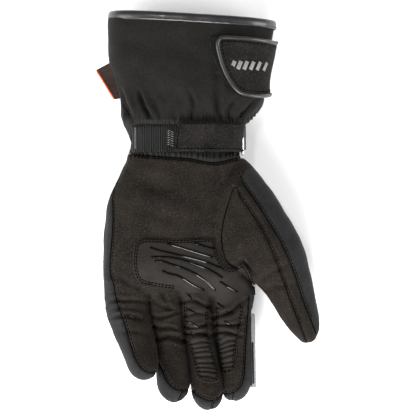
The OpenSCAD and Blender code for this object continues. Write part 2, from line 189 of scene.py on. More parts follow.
PATCH = (
    (-54.5, -26), (-53, -24.4), (-49.2, -21), (-34, -21.6), (-17.5, -22), (-5, -21), (6.4, -20.5),
    (7.2, -26), (7.5, -31), (10.8, -38.7), (15.6, -44.5), (21.5, -42.5), (26, -38), (31.5, -44.5),
    (36, -53), (37.5, -60), (36, -74), (-22, -74), (-19, -63), (-24.7, -60), (-34.3, -59),
    (-42.5, -57), (-50.6, -55.5), (-54, -51.2), (-55.4, -45.4), (-55.9, -38.7), (-55.4, -32),
)
STRIPS = {
    "middle": (
        (-20.2, -60), (-17.9, -69.8), (-17.5, -82), (-17.3, -93.8), (-13.7, -103.3), (-11, -112),
        (-8.8, -120), (-7.1, -127.3), (-3, -129.3), (1.9, -129.9), (6, -129.5), (9.1, -128),
        (7.9, -122.5), (5.6, -112), (3.1, -103.3), (0.1, -93.8), (0.4, -84), (0.9, -73.4),
        (2.4, -60),
    ),
    "index": (
        (3.4, -60), (6.1, -73.4), (6.0, -84), (6.1, -93.8), (8.5, -113), (10.4, -122.5),
        (12.5, -123.8), (18.7, -122.4), (21.4, -120.5), (21.7, -108.1), (23.5, -93.8),
        (25.9, -83.5), (27.7, -73), (33, -60),
    ),
}
PLEATS = {"middle": (-94.0, -127.5), "index": (-93.0, -120.5)}
SILICONE = (
    ((-9.8, -25.3), (5.5, -30.1)),
    ((-30, -25.6), (-23.8, -27.2), (-10.3, -31.5), (5.1, -36.1)),
    ((-42.5, -28.6), (-35.3, -31), (-24.7, -33.5), (-11.7, -36.3), (-0.7, -39.3), (12.3, -45)),
    ((-41.7, -35.6), (-33.3, -35.4), (-24.7, -36.1), (-15.1, -38.7), (-4.6, -42.6), (4.1, -46.4),
     (11.3, -51)),
    ((-39.1, -38.5), (-34.3, -38.3), (-27.6, -40.7), (-17.5, -43.8), (-7.9, -48.4), (-0.7, -53.6),
     (6.1, -60.3)),
    ((-33.8, -45.7), (-28.6, -48.1), (-22.8, -48.8), (-16.5, -52.2), (-10.3, -56.5), (-2.6, -60.3)),
    ((9.4, -53.6), (16.6, -58.5), (22.4, -62)),
)
TAB = (
    (8.9, 128.2), (6.5, 124), (7.3, 118.8), (11, 105.1), (16.3, 94.4), (20.5, 88.6), (24.8, 85.5),
    (34.3, 83.9), (41.7, 84.7), (47, 87.0), (62, 88.0), (62, 124.5), (52.7, 125.4), (30, 127.4),
)
PILE = (
    (4.7, 129.8), (1.5, 126.1), (2.1, 119.8), (4.7, 112.4), (8.9, 104), (15.2, 91.3), (24, 89),
    (40, 89), (40, 124), (16, 129.4),
)
# Folds pressed into the cloth: places along the fold, depth and width.
FOLDS = (
    (((-51, 88), (-48, 79), (-44, 69)), 3.4, 1.9),
    (((-40, 84), (-37, 76), (-36, 69)), 1.4, 2.2),
    (((-22, 88), (-24, 78), (-25, 69)), 1.8, 2.4),
    (((-12, 88), (-11, 78), (-12, 68)), 2.8, 1.8),
    (((8, 100), (6, 86), (9, 68)), 3.0, 2.2),
    (((20, 84), (17, 76), (16, 68)), 1.8, 2.0),
    (((38, 84), (30, 76), (23, 67)), 2.4, 1.5),
    (((-66, 90), (-62, 79), (-56, 67)), 2.4, 1.9),
    (((-78, -71), (-66, -66.5), (-46, -70)), 2.2, 1.5),
    (((-74, -82), (-62, -78.5), (-49, -82)), 2.8, 1.4),
    (((-66, -92), (-56, -90), (-46, -93)), 0.9, 2.2),
    (((-43, -68), (-35, -73), (-24, -76)), 1.6, 1.9),
    (((-41, -80), (-34, -81), (-22, -78)), 2.0, 1.3),
    (((-41, -89), (-34, -88), (-24, -91)), 2.6, 1.5),
    (((-38, -98), (-29, -94.5), (-17, -99)), 3.2, 1.7),
    (((-19, -70), (-9, -68.5), (1, -74)), 2.2, 1.4),
    (((-18, -80), (-8, -77), (2, -80.5)), 1.4, 1.2),
    (((-17, -88), (-8, -88.5), (2, -86)), 1.5, 1.3),
    (((-17, -94), (-8, -92), (2, -95)), 2.9, 1.5),
    (((5, -82), (15, -78), (31, -67)), 2.8, 1.5),
    (((5, -88), (15, -87), (27, -84)), 1.7, 1.2),
    (((5, -94), (15, -92), (26, -94)), 2.4, 1.4),
    (((31, -72), (34, -76), (36, -84)), 1.6, 1.6),
    (((37, -57), (46, -48), (58, -42)), 1.6, 2.2),
    (((40, -60), (52, -58), (64, -56)), 1.2, 2.2),
    (((20, 34), (11, 22), (7, 6), (6, -8)), 1.9, 3.4),
    (((24, 28), (30, 14), (40, 2)), 0.9, 3.0),
    (((-76, -46), (-52, -60), (-42, -58)), 1.6, 2.2),
    (((-64, 32), (-46, 20), (-24, 16)), 1.2, 5.0),
    (((-60, 4), (-40, -4), (-14, -6)), 0.8, 5.0),
    (((26, -37), (31, -44), (38, -50)), 1.8, 1.4),
    (((-36, -60), (-32, -66), (-30, -72)), 1.4, 1.6),
)
SILICONE_BITS = {
    "middle": (
        ((-15.6, -62.5), (-11.5, -66.5)), ((-14.5, -75), (-8.5, -77)),
        ((-14.5, -84.5), (-4, -89)), ((-14.8, -90.8), (-9, -92.6)),
    ),
    "index": (((8, -70), (12.5, -74)), ((14, -76), (19, -79)), ((13, -84), (25, -89))),
}
TIP_SEAMS = {
    "ring": ((-18.5, -135), (-22.1, -143)), "middle": ((3.7, -143), (2.5, -149)),
    "index": ((19.5, -137), (18.6, -143)),
}
STITCH_LIFT = 0.1  # how far a seam's stitches stand off the cloth


# ---------------------------------------------------------------------------
# Properties


class GloveSizes(bpy.types.PropertyGroup):
    """Sizes that a maker would change."""

    stitch_pitch: FloatProperty(
        name="Stitch pitch", description="Distance from one stitch to the next", default=2.6,
        min=1.5, max=5.0,
    )
    stitch_radius: FloatProperty(
        name="Thread radius", description="Radius of the sewing thread", default=0.46,
        min=0.1, max=0.6,
    )
    seam_depth: FloatProperty(
        name="Seam depth", description="How far a seam pulls the cloth in", default=1.3,
        min=0.0, max=2.0,
    )
    patch_lift: FloatProperty(
        name="Patch lift", description="How far a sewn-on patch stands off the cloth", default=0.9,
        min=0.3, max=1.6,
    )
    pleat_height: FloatProperty(
        name="Pleat height", description="Height of a pleat of the grip strips", default=1.6,
        min=0.2, max=2.0,
    )
    pleat_pitch: FloatProperty(
        name="Pleat pitch", description="Distance from one pleat to the next", default=3.7,
        min=1.5, max=6.0,
    )
    silicone_radius: FloatProperty(
        name="Silicone line radius", description="Radius of a printed grip line", default=0.8,
        min=0.2, max=1.2,
    )
    piping_radius: FloatProperty(
        name="Piping radius", description="Radius of the closure tab's piping", default=1.45,
        min=0.5, max=2.0,
    )
    binding_width: FloatProperty(
        name="Binding width", description="Width of the tape round the cuff opening", default=5.4,
        min=3.0, max=8.0,
    )
    rib_pitch: FloatProperty(
        name="Webbing rib pitch", description="Distance between the webbing's ribs", default=1.7,
        min=1.0, max=3.0,
    )
    fineness: IntProperty(
        name="Skin fineness", description="Subdivisions of the glove's cloth", default=4,
        min=3, max=5,
    )


class GloveColours(bpy.types.PropertyGroup):
    """Colours of the glove's cloths and trims."""

    def tint(name, value):
        return FloatVectorProperty(
            name=name, description=f"Base colour of the {name.lower()}", subtype="COLOR",
            size=3, default=value, min=0.0, max=1.0,
        )

    palm: tint("Palm cloth", (0.0092, 0.0074, 0.0058))
    back: tint("Back softshell", (0.0120, 0.0120, 0.0122))
    cuff: tint("Cuff softshell", (0.0078, 0.0070, 0.0064))
    # The elastic's own dark tone, taken darker still as painted shade for the shadow under the wrist strap's
    # tab.
    elastic: tint("Elastic gather", (0.004, 0.0036, 0.0034))
    leather: tint("Grip leather", (0.0100, 0.0082, 0.0068))
    silicone: tint("Silicone", (0.002, 0.002, 0.002))
    piping: tint("Piping", (0.010, 0.010, 0.011))
    webbing: tint("Webbing", (0.0055, 0.0052, 0.0050))
    thread: tint("Thread", (0.0012, 0.0011, 0.0010))
    rubber: tint("Wiper rubber", (0.20, 0.20, 0.205))
    label: tint("Side label", (0.030, 0.020, 0.018))
    stripe: tint("Label edge", (0.50, 0.07, 0.02))
    fleece: tint("Fleece", (0.045, 0.045, 0.048))
    steel: tint("Ring steel", (0.62, 0.62, 0.63))
    # The tab mark's light grey is also lent to the webbing's bar tacks, where it is a painted highlight.
    mark: tint("Tab mark", (0.16, 0.155, 0.15))
    floor: tint("Floor", (1.0, 1.0, 1.0))


# ---------------------------------------------------------------------------
# Shader maths


class Val:
    """A value in a material. Arithmetic on it adds Math nodes."""

    def __init__(self, mat, socket):
        self.mat, self.socket = mat, socket

    def _maths(self, operation, *values):
        return self.mat.node("ShaderNodeMath", {"operation": operation}, *values)

    def __add__(self, other):
        return self._maths("ADD", self, other)

    __radd__ = __add__

    def __sub__(self, other):
        return self._maths("SUBTRACT", self, other)

    def __rsub__(self, other):
        return self._maths("SUBTRACT", other, self)

    def __mul__(self, other):
        return self._maths("MULTIPLY", self, other)

    __rmul__ = __mul__

    def wave(self):
        return self._maths("SINE", self)


class Finish:
    """A node-based material with one Principled shader."""

    def __init__(self, name, **shine):
        self.material = bpy.data.materials.new(name)
        self.material.use_nodes = True
        self.tree = self.material.node_tree
        self.shader = self.tree.nodes["Principled BSDF"]
        for socket, value in shine.items():
            self.shader.inputs[socket.replace("_", " ")].default_value = value

    def node(self, kind, settings, *values, out=0):
        made = self.tree.nodes.new(kind)
        for key, value in settings.items():
            if key == "stops":
                ramp = made.color_ramp
                for element, (place, shade) in zip(ramp.elements, value):
                    element.position, element.color = place, (shade, shade, shade, 1)
            else:
                setattr(made, key, value)
        for i, value in enumerate(values):
            if value is None:
                continue
            socket = made.inputs[i]
            if isinstance(value, Val):
                self.tree.links.new(value.socket, socket)
            else:
                socket.default_value = value
        return Val(self, made.outputs[out])

    def place(self):
        return self.node("ShaderNodeTexCoord", {}, out=3)

    def noise(self, scale, detail=3.0, where=None, roughness=0.55):
        return self.node(
            "ShaderNodeTexNoise", {}, where or self.place(), None, scale, detail, roughness
        )

    def mix(self, share, low, high):
        made = self.tree.nodes.new("ShaderNodeMix")
        made.data_type = "RGBA"
        for socket, value in ((made.inputs[0], share), (made.inputs[6], low), (made.inputs[7], high)):
            if isinstance(value, Val):
                self.tree.links.new(value.socket, socket)
            else:
                socket.default_value = (*value, 1.0) if hasattr(value, "__len__") else value
        return Val(self, made.outputs[2])

    def ramp(self, value, low, high):
        return self.node(
            "ShaderNodeValToRGB", {"stops": ((low, 0.0), (high, 1.0))}, value
        )

    def feed(self, **links):
        for socket, value in links.items():
            self.tree.links.new(value.socket, self.shader.inputs[socket.replace("_", " ")])

    def bump(self, height, strength, distance):
        made = self.tree.nodes.new("ShaderNodeBump")
        made.inputs["Strength"].default_value = strength
        made.inputs["Distance"].default_value = distance
        self.tree.links.new(height.socket, made.inputs["Height"])
        self.tree.links.new(made.outputs[0], self.shader.inputs["Normal"])


def shade(colour, factor):
    return tuple(min(1.0, max(0.0, c * factor)) for c in colour)


def weave_of(mat, pitch):
    """A fine diagonal weave, from two crossing waves."""
    parts = mat.node("ShaderNodeSeparateXYZ", {}, mat.place())
    x, y, z = (Val(mat, parts.socket.node.outputs[i]) for i in range(3))
    turn = 2 * math.pi / (pitch * MM)
    return (((x + y + z * 0.5) * turn).wave() + ((x - y + z * 0.5) * turn).wave()) * 0.25 + 0.5


def suede(name, colour):
    mat = Finish(name, Roughness=0.82, Sheen_Weight=0.03, Sheen_Roughness=0.4, Specular_IOR_Level=0.07)
    cloud = mat.noise(55, 4)
    grain = mat.noise(950, 3)
    fleck = mat.ramp(mat.noise(1100, 2), 0.54, 0.70)
    patchy = mat.ramp(cloud * 0.45 + grain * 0.55, 0.40, 0.60)
    base = mat.mix(patchy, shade(colour, 0.42), shade(colour, 1.45))
    mat.feed(Base_Color=mat.mix(fleck * 0.7, base, shade(colour, 3.8)))
    mat.bump(grain * 0.7 + mat.noise(320, 3) * 0.6, 0.5, 0.0004)
    mat.feed(Roughness=cloud * 0.15 + 0.74)
    return mat.material


def softshell(name, colour, pitch=0.9):
    mat = Finish(name, Roughness=0.78, Sheen_Weight=0.04, Sheen_Roughness=0.4, Specular_IOR_Level=0.08)
    weave = weave_of(mat, pitch)
    cloud = mat.noise(40, 4)
    grain = mat.noise(800, 3)
    patchy = mat.ramp(cloud * 0.4 + grain * 0.6, 0.40, 0.60)
    base = mat.mix(patchy, shade(colour, 0.45), shade(colour, 1.45))
    mat.feed(Base_Color=mat.mix(weave * 0.5, base, shade(colour, 1.5)))
    mat.feed(Roughness=cloud * 0.16 + 0.68)
    mat.bump(weave * 0.5 + mat.noise(600, 2) * 0.6, 0.45, 0.0003)
    return mat.material


def leather_of(name, colour, gloss=0.56):
    mat = Finish(name, Roughness=gloss, Specular_IOR_Level=0.09)
    cells = mat.node(
        "ShaderNodeTexVoronoi", {"feature": "SMOOTH_F1"}, mat.place(), None, 620.0
    )
    fine = mat.noise(1400, 3)
    base = mat.mix(mat.ramp(mat.noise(70, 4), 0.3, 0.7), shade(colour, 0.75), shade(colour, 1.3))
    mat.feed(Base_Color=base, Roughness=fine * 0.25 + (gloss - 0.1))
    mat.bump(cells * 0.8 + fine * 0.4, 0.5, 0.0004)
    return mat.material


def gloss_of(name, colour, roughness=0.2, metallic=0.0, coat=0.5, grain=300, lift=0.0002):
    mat = Finish(
        name, Roughness=roughness, Metallic=metallic, Coat_Weight=coat, Coat_Roughness=0.12,
        Specular_IOR_Level=0.5 if coat else 0.2,
    )
    wear = mat.noise(grain, 3)
    mat.feed(
        Base_Color=mat.mix(mat.ramp(wear, 0.35, 0.7), shade(colour, 0.85), shade(colour, 1.25)),
        Roughness=wear * 0.16 + (roughness - 0.06),
    )
    mat.bump(wear, 0.25, lift)
    return mat.material


def silicone_of(name, colour):
    """Printed silicone: black, with its gloss broken up where dust has dulled it."""
    mat = Finish(name, Roughness=0.2, Specular_IOR_Level=0.03, Coat_Roughness=0.13)
    glossy = mat.ramp(mat.noise(75, 2), 0.50, 0.60)
    fine = mat.noise(900, 2)
    mat.feed(
        Base_Color=mat.mix(fine, shade(colour, 0.7), shade(colour, 1.4)),
        Coat_Weight=glossy, Roughness=fine * 0.1 + 0.15,
    )
    mat.bump(fine, 0.2, 0.0002)
    return mat.material


def fleece_of(name, colour):
    mat = Finish(name, Roughness=0.95, Sheen_Weight=0.1, Specular_IOR_Level=0.1)
    curl = mat.noise(500, 4)
    mat.feed(Base_Color=mat.mix(mat.ramp(curl, 0.3, 0.7), shade(colour, 0.6), shade(colour, 1.4)))
    mat.bump(curl + mat.noise(140, 3), 0.9, 0.0012)
    return mat.material


def stitched_cloth(name, colour, roughness=0.6, shine=0.25):
    mat = Finish(name, Roughness=roughness, Specular_IOR_Level=shine)
    twist = mat.noise(1800, 2)
    mat.feed(Base_Color=mat.mix(twist, shade(colour, 0.6), shade(colour, 1.5)))
    mat.bump(twist, 0.4, 0.0002)
    return mat.material


STORE = {}


def finish(name):
    """The named material, made once from the scene's colours."""
    if name in STORE:
        return STORE[name]
    c = bpy.context.scene.glove_colours
    made = {
        "palm": lambda: suede("palm_suede", tuple(c.palm)),
        "back": lambda: softshell("back_softshell", tuple(c.back)),
        "cuff": lambda: softshell("cuff_softshell", tuple(c.cuff), 1.0),
        "tab": lambda: suede("tab_softshell", shade(tuple(c.cuff), 1.15)),
        "elastic": lambda: stitched_cloth("elastic_gather_with_painted_shade", tuple(c.elastic), 0.8),
        "leather": lambda: leather_of("grip_leather", tuple(c.leather)),
        "silicone": lambda: silicone_of("silicone_lines", tuple(c.silicone)),
        "piping": lambda: gloss_of("glossy_piping", tuple(c.piping), 0.36, 0, 0.15, 120),
        "webbing": lambda: stitched_cloth("ribbed_webbing", tuple(c.webbing), 0.55),
        "pile": lambda: fleece_of("loop_pile", tuple(c.webbing)),
        "thread": lambda: stitched_cloth("sewing_thread", tuple(c.thread), 0.8, 0.02),
        "rubber": lambda: gloss_of("wiper_rubber", tuple(c.rubber), 0.5, 0, 0.0, 900),
        "guard": lambda: gloss_of("moulded_guard", shade(tuple(c.back), 0.6), 0.55, 0, 0.0, 1200),
        "label": lambda: softshell("woven_label", tuple(c.label), 0.7),
        "stripe": lambda: stitched_cloth("label_edge", tuple(c.stripe), 0.6),
        "fleece": lambda: fleece_of("fleece_lining", tuple(c.fleece)),
        "steel": lambda: gloss_of("ring_steel", tuple(c.steel), 0.28, 1.0, 0.0, 200),
        "mark": lambda: gloss_of("tab_mark", tuple(c.mark), 0.5, 0, 0.0, 900),
    }[name]()
    STORE[name] = made
    return made


# ---------------------------------------------------------------------------
# Outlines in plan


def smooth_line(points, closed=False, rounds=2):
    """Chaikin's corner cutting, which keeps an open line's ends."""
    line = np.array(points, float)
    for _ in range(rounds):
        after = np.roll(line, -1, 0) if closed else line[1:]
        before = line if closed else line[:-1]
        cut = np.stack([before * 0.75 + after * 0.25, before * 0.25 + after * 0.75], 1)
        cut = cut.reshape(-1, line.shape[1])
        line = cut if closed else np.vstack([line[:1], cut[1:-1], line[-1:]])
    return line


def even_points(line, pitch, closed=False):
    """Points spaced evenly along a line."""
    if closed:
        line = np.vstack([line, line[:1]])
    steps = np.linalg.norm(np.diff(line, axis=0), axis=1)
    way = np.concatenate([[0], np.cumsum(steps)])
    count = max(2, int(round(way[-1] / pitch)) + 1)
    at = np.linspace(0, way[-1], count)
    return np.stack([np.interp(at, way, line[:, k]) for k in range(line.shape[1])], 1)


def offset_line(line, distance, closed=False):
    """The line moved to its left by a distance."""
    if closed:
        along = np.roll(line, -1, 0) - np.roll(line, 1, 0)
    else:
        along = np.gradient(line, axis=0)
    along = along / np.maximum(1e-9, np.linalg.norm(along, axis=1))[:, None]
    return line + np.stack([-along[:, 1], along[:, 0]], 1) * distance


def line_distance(places, line, closed=False):
    """Distance from each place to a line in plan, and the side it is on (left is positive)."""
    if closed:
        line = np.vstack([line, line[:1]])
    best = np.full(len(places), 1e9)
    side = np.ones(len(places))
    for a, b in zip(line[:-1], line[1:]):
        d = b - a
        length = max(1e-9, d @ d)
        t = np.clip(((places - a) @ d) / length, 0, 1)
        gap = places - (a + t[:, None] * d)
        far = np.hypot(gap[:, 0], gap[:, 1])
        cross = d[0] * (places[:, 1] - a[1]) - d[1] * (places[:, 0] - a[0])
        nearer = far < best - 1e-7
        best = np.where(nearer, far, best)
        side = np.where(nearer, np.where(cross >= 0, 1.0, -1.0), side)
    return best, side


def inside_outline(places, outline):
    """Signed distance to a closed outline in plan: negative inside."""
    best, _ = line_distance(places, outline, True)
    x, y = places[:, 0], places[:, 1]
    within = np.zeros(len(places), bool)
    for (ax, ay), (bx, by) in zip(outline, np.roll(outline, -1, 0)):
        if ay == by:
            continue
        crosses = (ay > y) != (by > y)
        within ^= crosses & (x < (bx - ax) * (y - ay) / (by - ay) + ax)
    return np.where(within, -best, best)


# ---------------------------------------------------------------------------
# The cage of the glove


def grow(bm, ring, places, zone, closed=True):
    """Extrudes a ring of corners to new places and gives the new faces their zone."""
    pairs = zip(ring, ring[1:] + ring[:1]) if closed else zip(ring[:-1], ring[1:])
    edges = [bm.edges.get(pair) for pair in pairs]
    made = bmesh.ops.extrude_edge_only(bm, edges=edges)["geom"]
    fresh = {g for g in made if isinstance(g, bmesh.types.BMVert)}
    for g in made:
        if isinstance(g, bmesh.types.BMFace):
            g.material_index = zone
    grown = []
    for corner in ring:
        twin = next(e.other_vert(corner) for e in corner.link_edges if e.other_vert(corner) in fresh)
        grown.append(twin)
    for corner, place in zip(grown, places):
        corner.co = Vector(place)
    return grown


def height_share(x, left, right, square):
    middle, half = (left + right) / 2, (right - left) / 2
    share = min(1.0, abs(x - middle) / half)
    return (1 - share**square) ** (1 / square)


ACROSS = (-0.9, -0.7, -0.46, -0.23, 0.0, 0.23, 0.46, 0.7, 0.9)


def round_ring(ring):
    """Twenty places round the cuff or wrist: palm row, thumb side, back row, little-finger side."""
    y, slope, left, right, middle, half, square = ring
    centre, width = (left + right) / 2, (right - left) / 2 * 1.012

    def at(x, up):
        lift = half * 1.015 * height_share(x, left - 0.5, right + 0.5, square) * up
        return (x, y + slope * (x - centre), middle + lift)

    xs = [centre + width * s for s in ACROSS]
    top = [at(x, 1) for x in xs]
    back = [at(x, -1) for x in reversed(xs)]
    return [*top, at(centre + width, 0), *back, at(centre - width, 0)]


def palm_ring(ring):
    """Twenty places round the palm; the side places are moved afterwards where the thumb grows."""
    y, left, right, half, seam, back_seam = ring
    start = left + (right - left) * 0.055

    def row(end, up):
        places = []
        for k in range(9):
            share = k / 8
            x = start + (end[0] - start) * share
            lean = y + (end[1] - y) * share**2
            lift = half * 1.015 * height_share(x, left - 1, right + 6, 2.7) * up
            places.append((x, lean, 28.0 + lift))
        return places

    top = row(seam, 1)
    back = row(back_seam, -1)
    return [*top, (right, y, 28.0), *reversed(back), (left, y, 28.0)]


def finger_ring(station, before, after, swell=1 / 0.902):
    """Eight places round a finger station, square to the line from the one before to the one after."""
    x, y, width, z, half = station
    along = Vector((after[0] - before[0], after[1] - before[1], after[3] - before[3])).normalized()
    across = Vector((-along.y, along.x, 0)).normalized()
    up = across.cross(along).normalized()
    if up.z < 0:
        up.negate()
    if across.x < 0:
        across.negate()
    places = []
    for turn in (135, 90, 45, 0, -45, -90, -135, 180):
        c, s = math.cos(math.radians(turn)), math.sin(math.radians(turn))
        places.append(Vector((x, y, z)) + across * (c * width * swell) + up * (s * half * swell))
    return places


def thumb_ring(station, tilt):
    """Twelve places round a thumb station, from its outer side over the palm side to its inner side."""
    outer, inner, z, half = station
    centre = Vector(((outer[0] + inner[0]) / 2, (outer[1] + inner[1]) / 2, z))
    across = Vector(((outer[0] - inner[0]) / 2, (outer[1] - inner[1]) / 2, 0))
    up = Vector((tilt * 0.3, tilt, 1)).normalized()
    places = []
    for k in range(12):
        turn = math.radians(30 * k)
        c, s = math.cos(turn), math.sin(turn)
        c = math.copysign(abs(c) ** 0.92, c)
        s = math.copysign(abs(s) ** 0.92, s)
        places.append(centre + across * (c * 1.02) + up * (s * half * 1.05))
    return places


def close_tip(bm, ring, zone):
    face = bmesh.ops.contextual_create(bm, geom=ring)["faces"][0]
    face.material_index = zone


def glove_cage():
    """The whole glove as one coarse surface of quads, open at the cuff."""
    bm = bmesh.new()
    first = round_ring(CUFF_RINGS[0])
    ring = bmesh.ops.create_circle(bm, cap_ends=False, segments=len(first), radius=1)["verts"]
    for corner, place in zip(ring, first):
        corner.co = Vector(place)
    for station in CUFF_RINGS[1:]:
        ring = grow(bm, ring, round_ring(station), 0)
    for station in WRIST_RINGS:
        ring = grow(bm, ring, round_ring(station), 1)
    palm = []
    for station in PALM_RINGS:
        ring = grow(bm, ring, palm_ring(station), 1)
        palm.append(ring)
    back = [(x, y, 56.0 - z) for x, y, z in reversed(FINGER_RIM)]
    rim = [*FINGER_RIM, RIM_SIDES[1], *back, RIM_SIDES[0]]
    ring = grow(bm, ring, rim, 1)
    # The thumb's mouth: the side corners of the palm rings make way for it.
    side = 9
    palm[0][side].co = Vector(THUMB_TOP)
    palm[4][side].co = Vector(THUMB_CROTCH)
    palm[5][side].co = Vector((38.2, -61.5, 28.0))
    mouth = (
        [palm[0][side]] + [palm[k][8] for k in range(5)]
        + [palm[4][side]] + [palm[k][10] for k in range(4, -1, -1)]
    )
    bmesh.ops.delete(bm, geom=[palm[k][side] for k in (1, 2, 3)], context="VERTS")
    thumb = mouth
    for k, station in enumerate(THUMB):
        thumb = grow(bm, thumb, thumb_ring(station, 0.02 * k), 2)
    close_tip(bm, thumb, 2)
    # The fingers: three webs split the rim into four mouths of eight corners.
    webs = [bm.verts.new(place) for place in WEBS]
    for k, web in enumerate(webs):
        bm.edges.new((ring[2 * k + 2], web))
        bm.edges.new((web, ring[16 - 2 * k]))
    sides = [ring[19], *webs, ring[9]]
    for k, name in enumerate(("little", "ring", "middle", "index")):
        top = [ring[2 * k], ring[2 * k + 1], ring[2 * k + 2]]
        below = [ring[16 - 2 * k], ring[17 - 2 * k], ring[18 - 2 * k]]
        finger = [*top, sides[k + 1], *below, sides[k]]
        stations = FINGERS[name]
        for i, station in enumerate(stations):
            before = stations[max(0, i - 1)]
            after = stations[min(len(stations) - 1, i + 1)]
            finger = grow(bm, finger, finger_ring(station, before, after), 3 + k)
        close_tip(bm, finger, 3 + k)
    bmesh.ops.recalc_face_normals(bm, faces=bm.faces)
    return bm


def subdivided(mesh, levels):
    """The mesh after Catmull-Clark subdivision."""
    carrier = bpy.data.objects.new("cage", mesh)
    bpy.context.scene.collection.objects.link(carrier)
    smooth = carrier.modifiers.new("smooth", "SUBSURF")
    smooth.levels = smooth.render_levels = levels
    smooth.boundary_smooth = "PRESERVE_CORNERS"
    evaluated = carrier.evaluated_get(bpy.context.evaluated_depsgraph_get())
    made = bpy.data.meshes.new_from_object(evaluated)
    bpy.data.objects.remove(carrier)
    return made


def coords_of(mesh):
    places = np.zeros(len(mesh.vertices) * 3, np.float32)
    mesh.vertices.foreach_get("co", places)
    return places.reshape(-1, 3).astype(float)


def normals_of(mesh):
    return np.array([v.vector for v in mesh.vertex_normals], float).reshape(-1, 3)


def ripple(places, scale, seed):
    """Smooth seeded noise from a few crossing waves, from -1 to 1."""
    rng = np.random.default_rng(seed)
    total = np.zeros(len(places))
    for _ in range(7):
        way = rng.normal(size=3)
        way /= np.linalg.norm(way)
        total += np.sin(places @ way * (2 * math.pi / (scale * rng.uniform(0.7, 1.5))) + rng.uniform(0, 6.3))
    return total / 4.0


def zone_masks(mesh):
    """For each zone, 1 at the corners of its faces and 0 elsewhere."""
    masks = {zone: np.zeros(len(mesh.vertices)) for zone in ZONES}
    for face in mesh.polygons:
        masks[ZONES[face.material_index]][list(face.vertices)] = 1.0
    return masks


def press_folds(mesh):
    """Moves the cloth along its normals: seams pull in, folds sink, and panels swell a little."""
    sizes = bpy.context.scene.glove_sizes
    places, normals = coords_of(mesh), normals_of(mesh)
    masks = zone_masks(mesh)
    plan = places[:, :2]
    facing = np.clip(normals[:, 2] * 2.0 + 0.3, 0, 1)
    move = np.zeros(len(places))
    for zone, lines in seam_lines().items():
        near = facing * masks[zone]
        for line in lines:
            far, side = line_distance(plan, line)
            move -= sizes.seam_depth * np.exp(-((far / 0.85) ** 2)) * near
            move += 0.45 * np.exp(-(((far - 3.0) / 2.2) ** 2)) * near
            move -= 0.22 * np.exp(-(((far * side - 1.6) / 0.5) ** 2)) * near
    wander = np.stack([ripple(places, 17, 11), ripple(places, 17, 12)], 1) * 1.1
    patchy = 0.85 + 0.35 * ripple(places, 13, 13)
    for points, depth, width in FOLDS:
        line = smooth_line(points, rounds=2)
        far, side = line_distance(plan + wander, line)
        depth = depth * patchy
        way = np.linalg.norm(plan - line[len(line) // 2], axis=1)
        reach = np.linalg.norm(line[-1] - line[0]) / 2
        fade = np.clip(1.5 - way / max(1.0, reach * 1.05), 0, 1) * facing
        move -= depth * np.exp(-((far / width) ** 2)) * fade
        for lean, share in ((2.0, 0.42), (-2.0, 0.30)):
            move += depth * share * np.exp(-(((far * side - lean * width) / (1.2 * width)) ** 2)) * fade
    # The elastic gathers the cloth above and below the strap.
    x, y = places[:, 0], places[:, 1]
    gather = np.exp(-(((y - 41.5) / 3.0) ** 2)) * 0.9 + np.exp(-(((y - 68) / 4.0) ** 2)) * 0.5
    move += gather * (np.sin(x * 1.9 + np.sin(x * 0.37) * 2) + 0.4 * np.sin(x * 3.3 + 1))
    loose = np.clip((y - 66) / 20, 0, 1)
    move += ripple(places, 46, 3) * (0.45 + 0.7 * loose) + ripple(places, 17, 5) * 0.28
    moved = places + normals * move[:, None]
    mesh.vertices.foreach_set("co", moved.astype(np.float32).ravel())
    mesh.update()


def puffed(mesh):
    """Blows the cloth up with a cloth simulation that its seams and its opening hold down."""
    scene = bpy.context.scene
    before = coords_of(mesh)
    masks = zone_masks(mesh)
    hold = np.exp(-(((before[:, 1] - 146) / 5.0) ** 2)) + np.exp(-(((before[:, 1] - 53) / 12.0) ** 2))
    for zone, lines in seam_lines().items():
        for line in lines:
            far, _ = line_distance(before[:, :2], line)
            hold += np.exp(-((far / 3.5) ** 2)) * masks[zone]
    doll = bpy.data.objects.new("doll", mesh.copy())
    scene.collection.objects.link(doll)
    doll.data.vertices.foreach_set("co", (before * MM).astype(np.float32).ravel())
    pins = doll.vertex_groups.new(name="pins")
    for index, weight in enumerate(np.clip(hold, 0, 1)):
        pins.add([index], float(weight), "REPLACE")
    cloth = doll.modifiers.new("cloth", "CLOTH")
    cloth.settings.vertex_group_mass = "pins"
    cloth.settings.quality = 4
    cloth.settings.use_pressure = True
    cloth.settings.uniform_pressure_force = 4.0
    cloth.settings.effector_weights.gravity = 0
    cloth.collision_settings.use_collision = False
    cloth.point_cache.frame_start, cloth.point_cache.frame_end = 1, 16
    for step in range(1, 17):
        scene.frame_set(step)
    shaped = doll.evaluated_get(bpy.context.evaluated_depsgraph_get()).to_mesh()
    move = coords_of(shaped) / MM - before
    bpy.data.objects.remove(doll)
    scene.frame_set(1)
    length = np.linalg.norm(move, axis=1)
    move *= (np.minimum(length, 1.1) / np.maximum(length, 1e-9))[:, None]
    mesh.vertices.foreach_set("co", (before + move).astype(np.float32).ravel())
    mesh.update()
    return mesh


SKIN = {}


def seam_lines():
    """The seams of each zone, as smooth lines in plan."""
    side = smooth_line(SIDE_SEAM)
    root = ((19.2, 15.4), (13, -3.4), (10.2, -18.6), (11.3, -31), (15.2, -41), (21.8, -44.2))
    tips = {name: [smooth_line(line)] for name, line in TIP_SEAMS.items()}
    return {
        "palm": [smooth_line(WRIST_HEM), side, smooth_line(root)],
        "thumb": [smooth_line(GUSSET_SEAM), smooth_line(THUMB_SEAM), smooth_line(root)],
        "little": [side],
        "ring": [smooth_line(FRONTS["ring"][2:9])] + tips["ring"],
        "middle": [smooth_line(FRONTS["middle"][2:9])] + tips["middle"],
        "index": [smooth_line(FRONTS["index"][2:])] + tips["index"],
    }


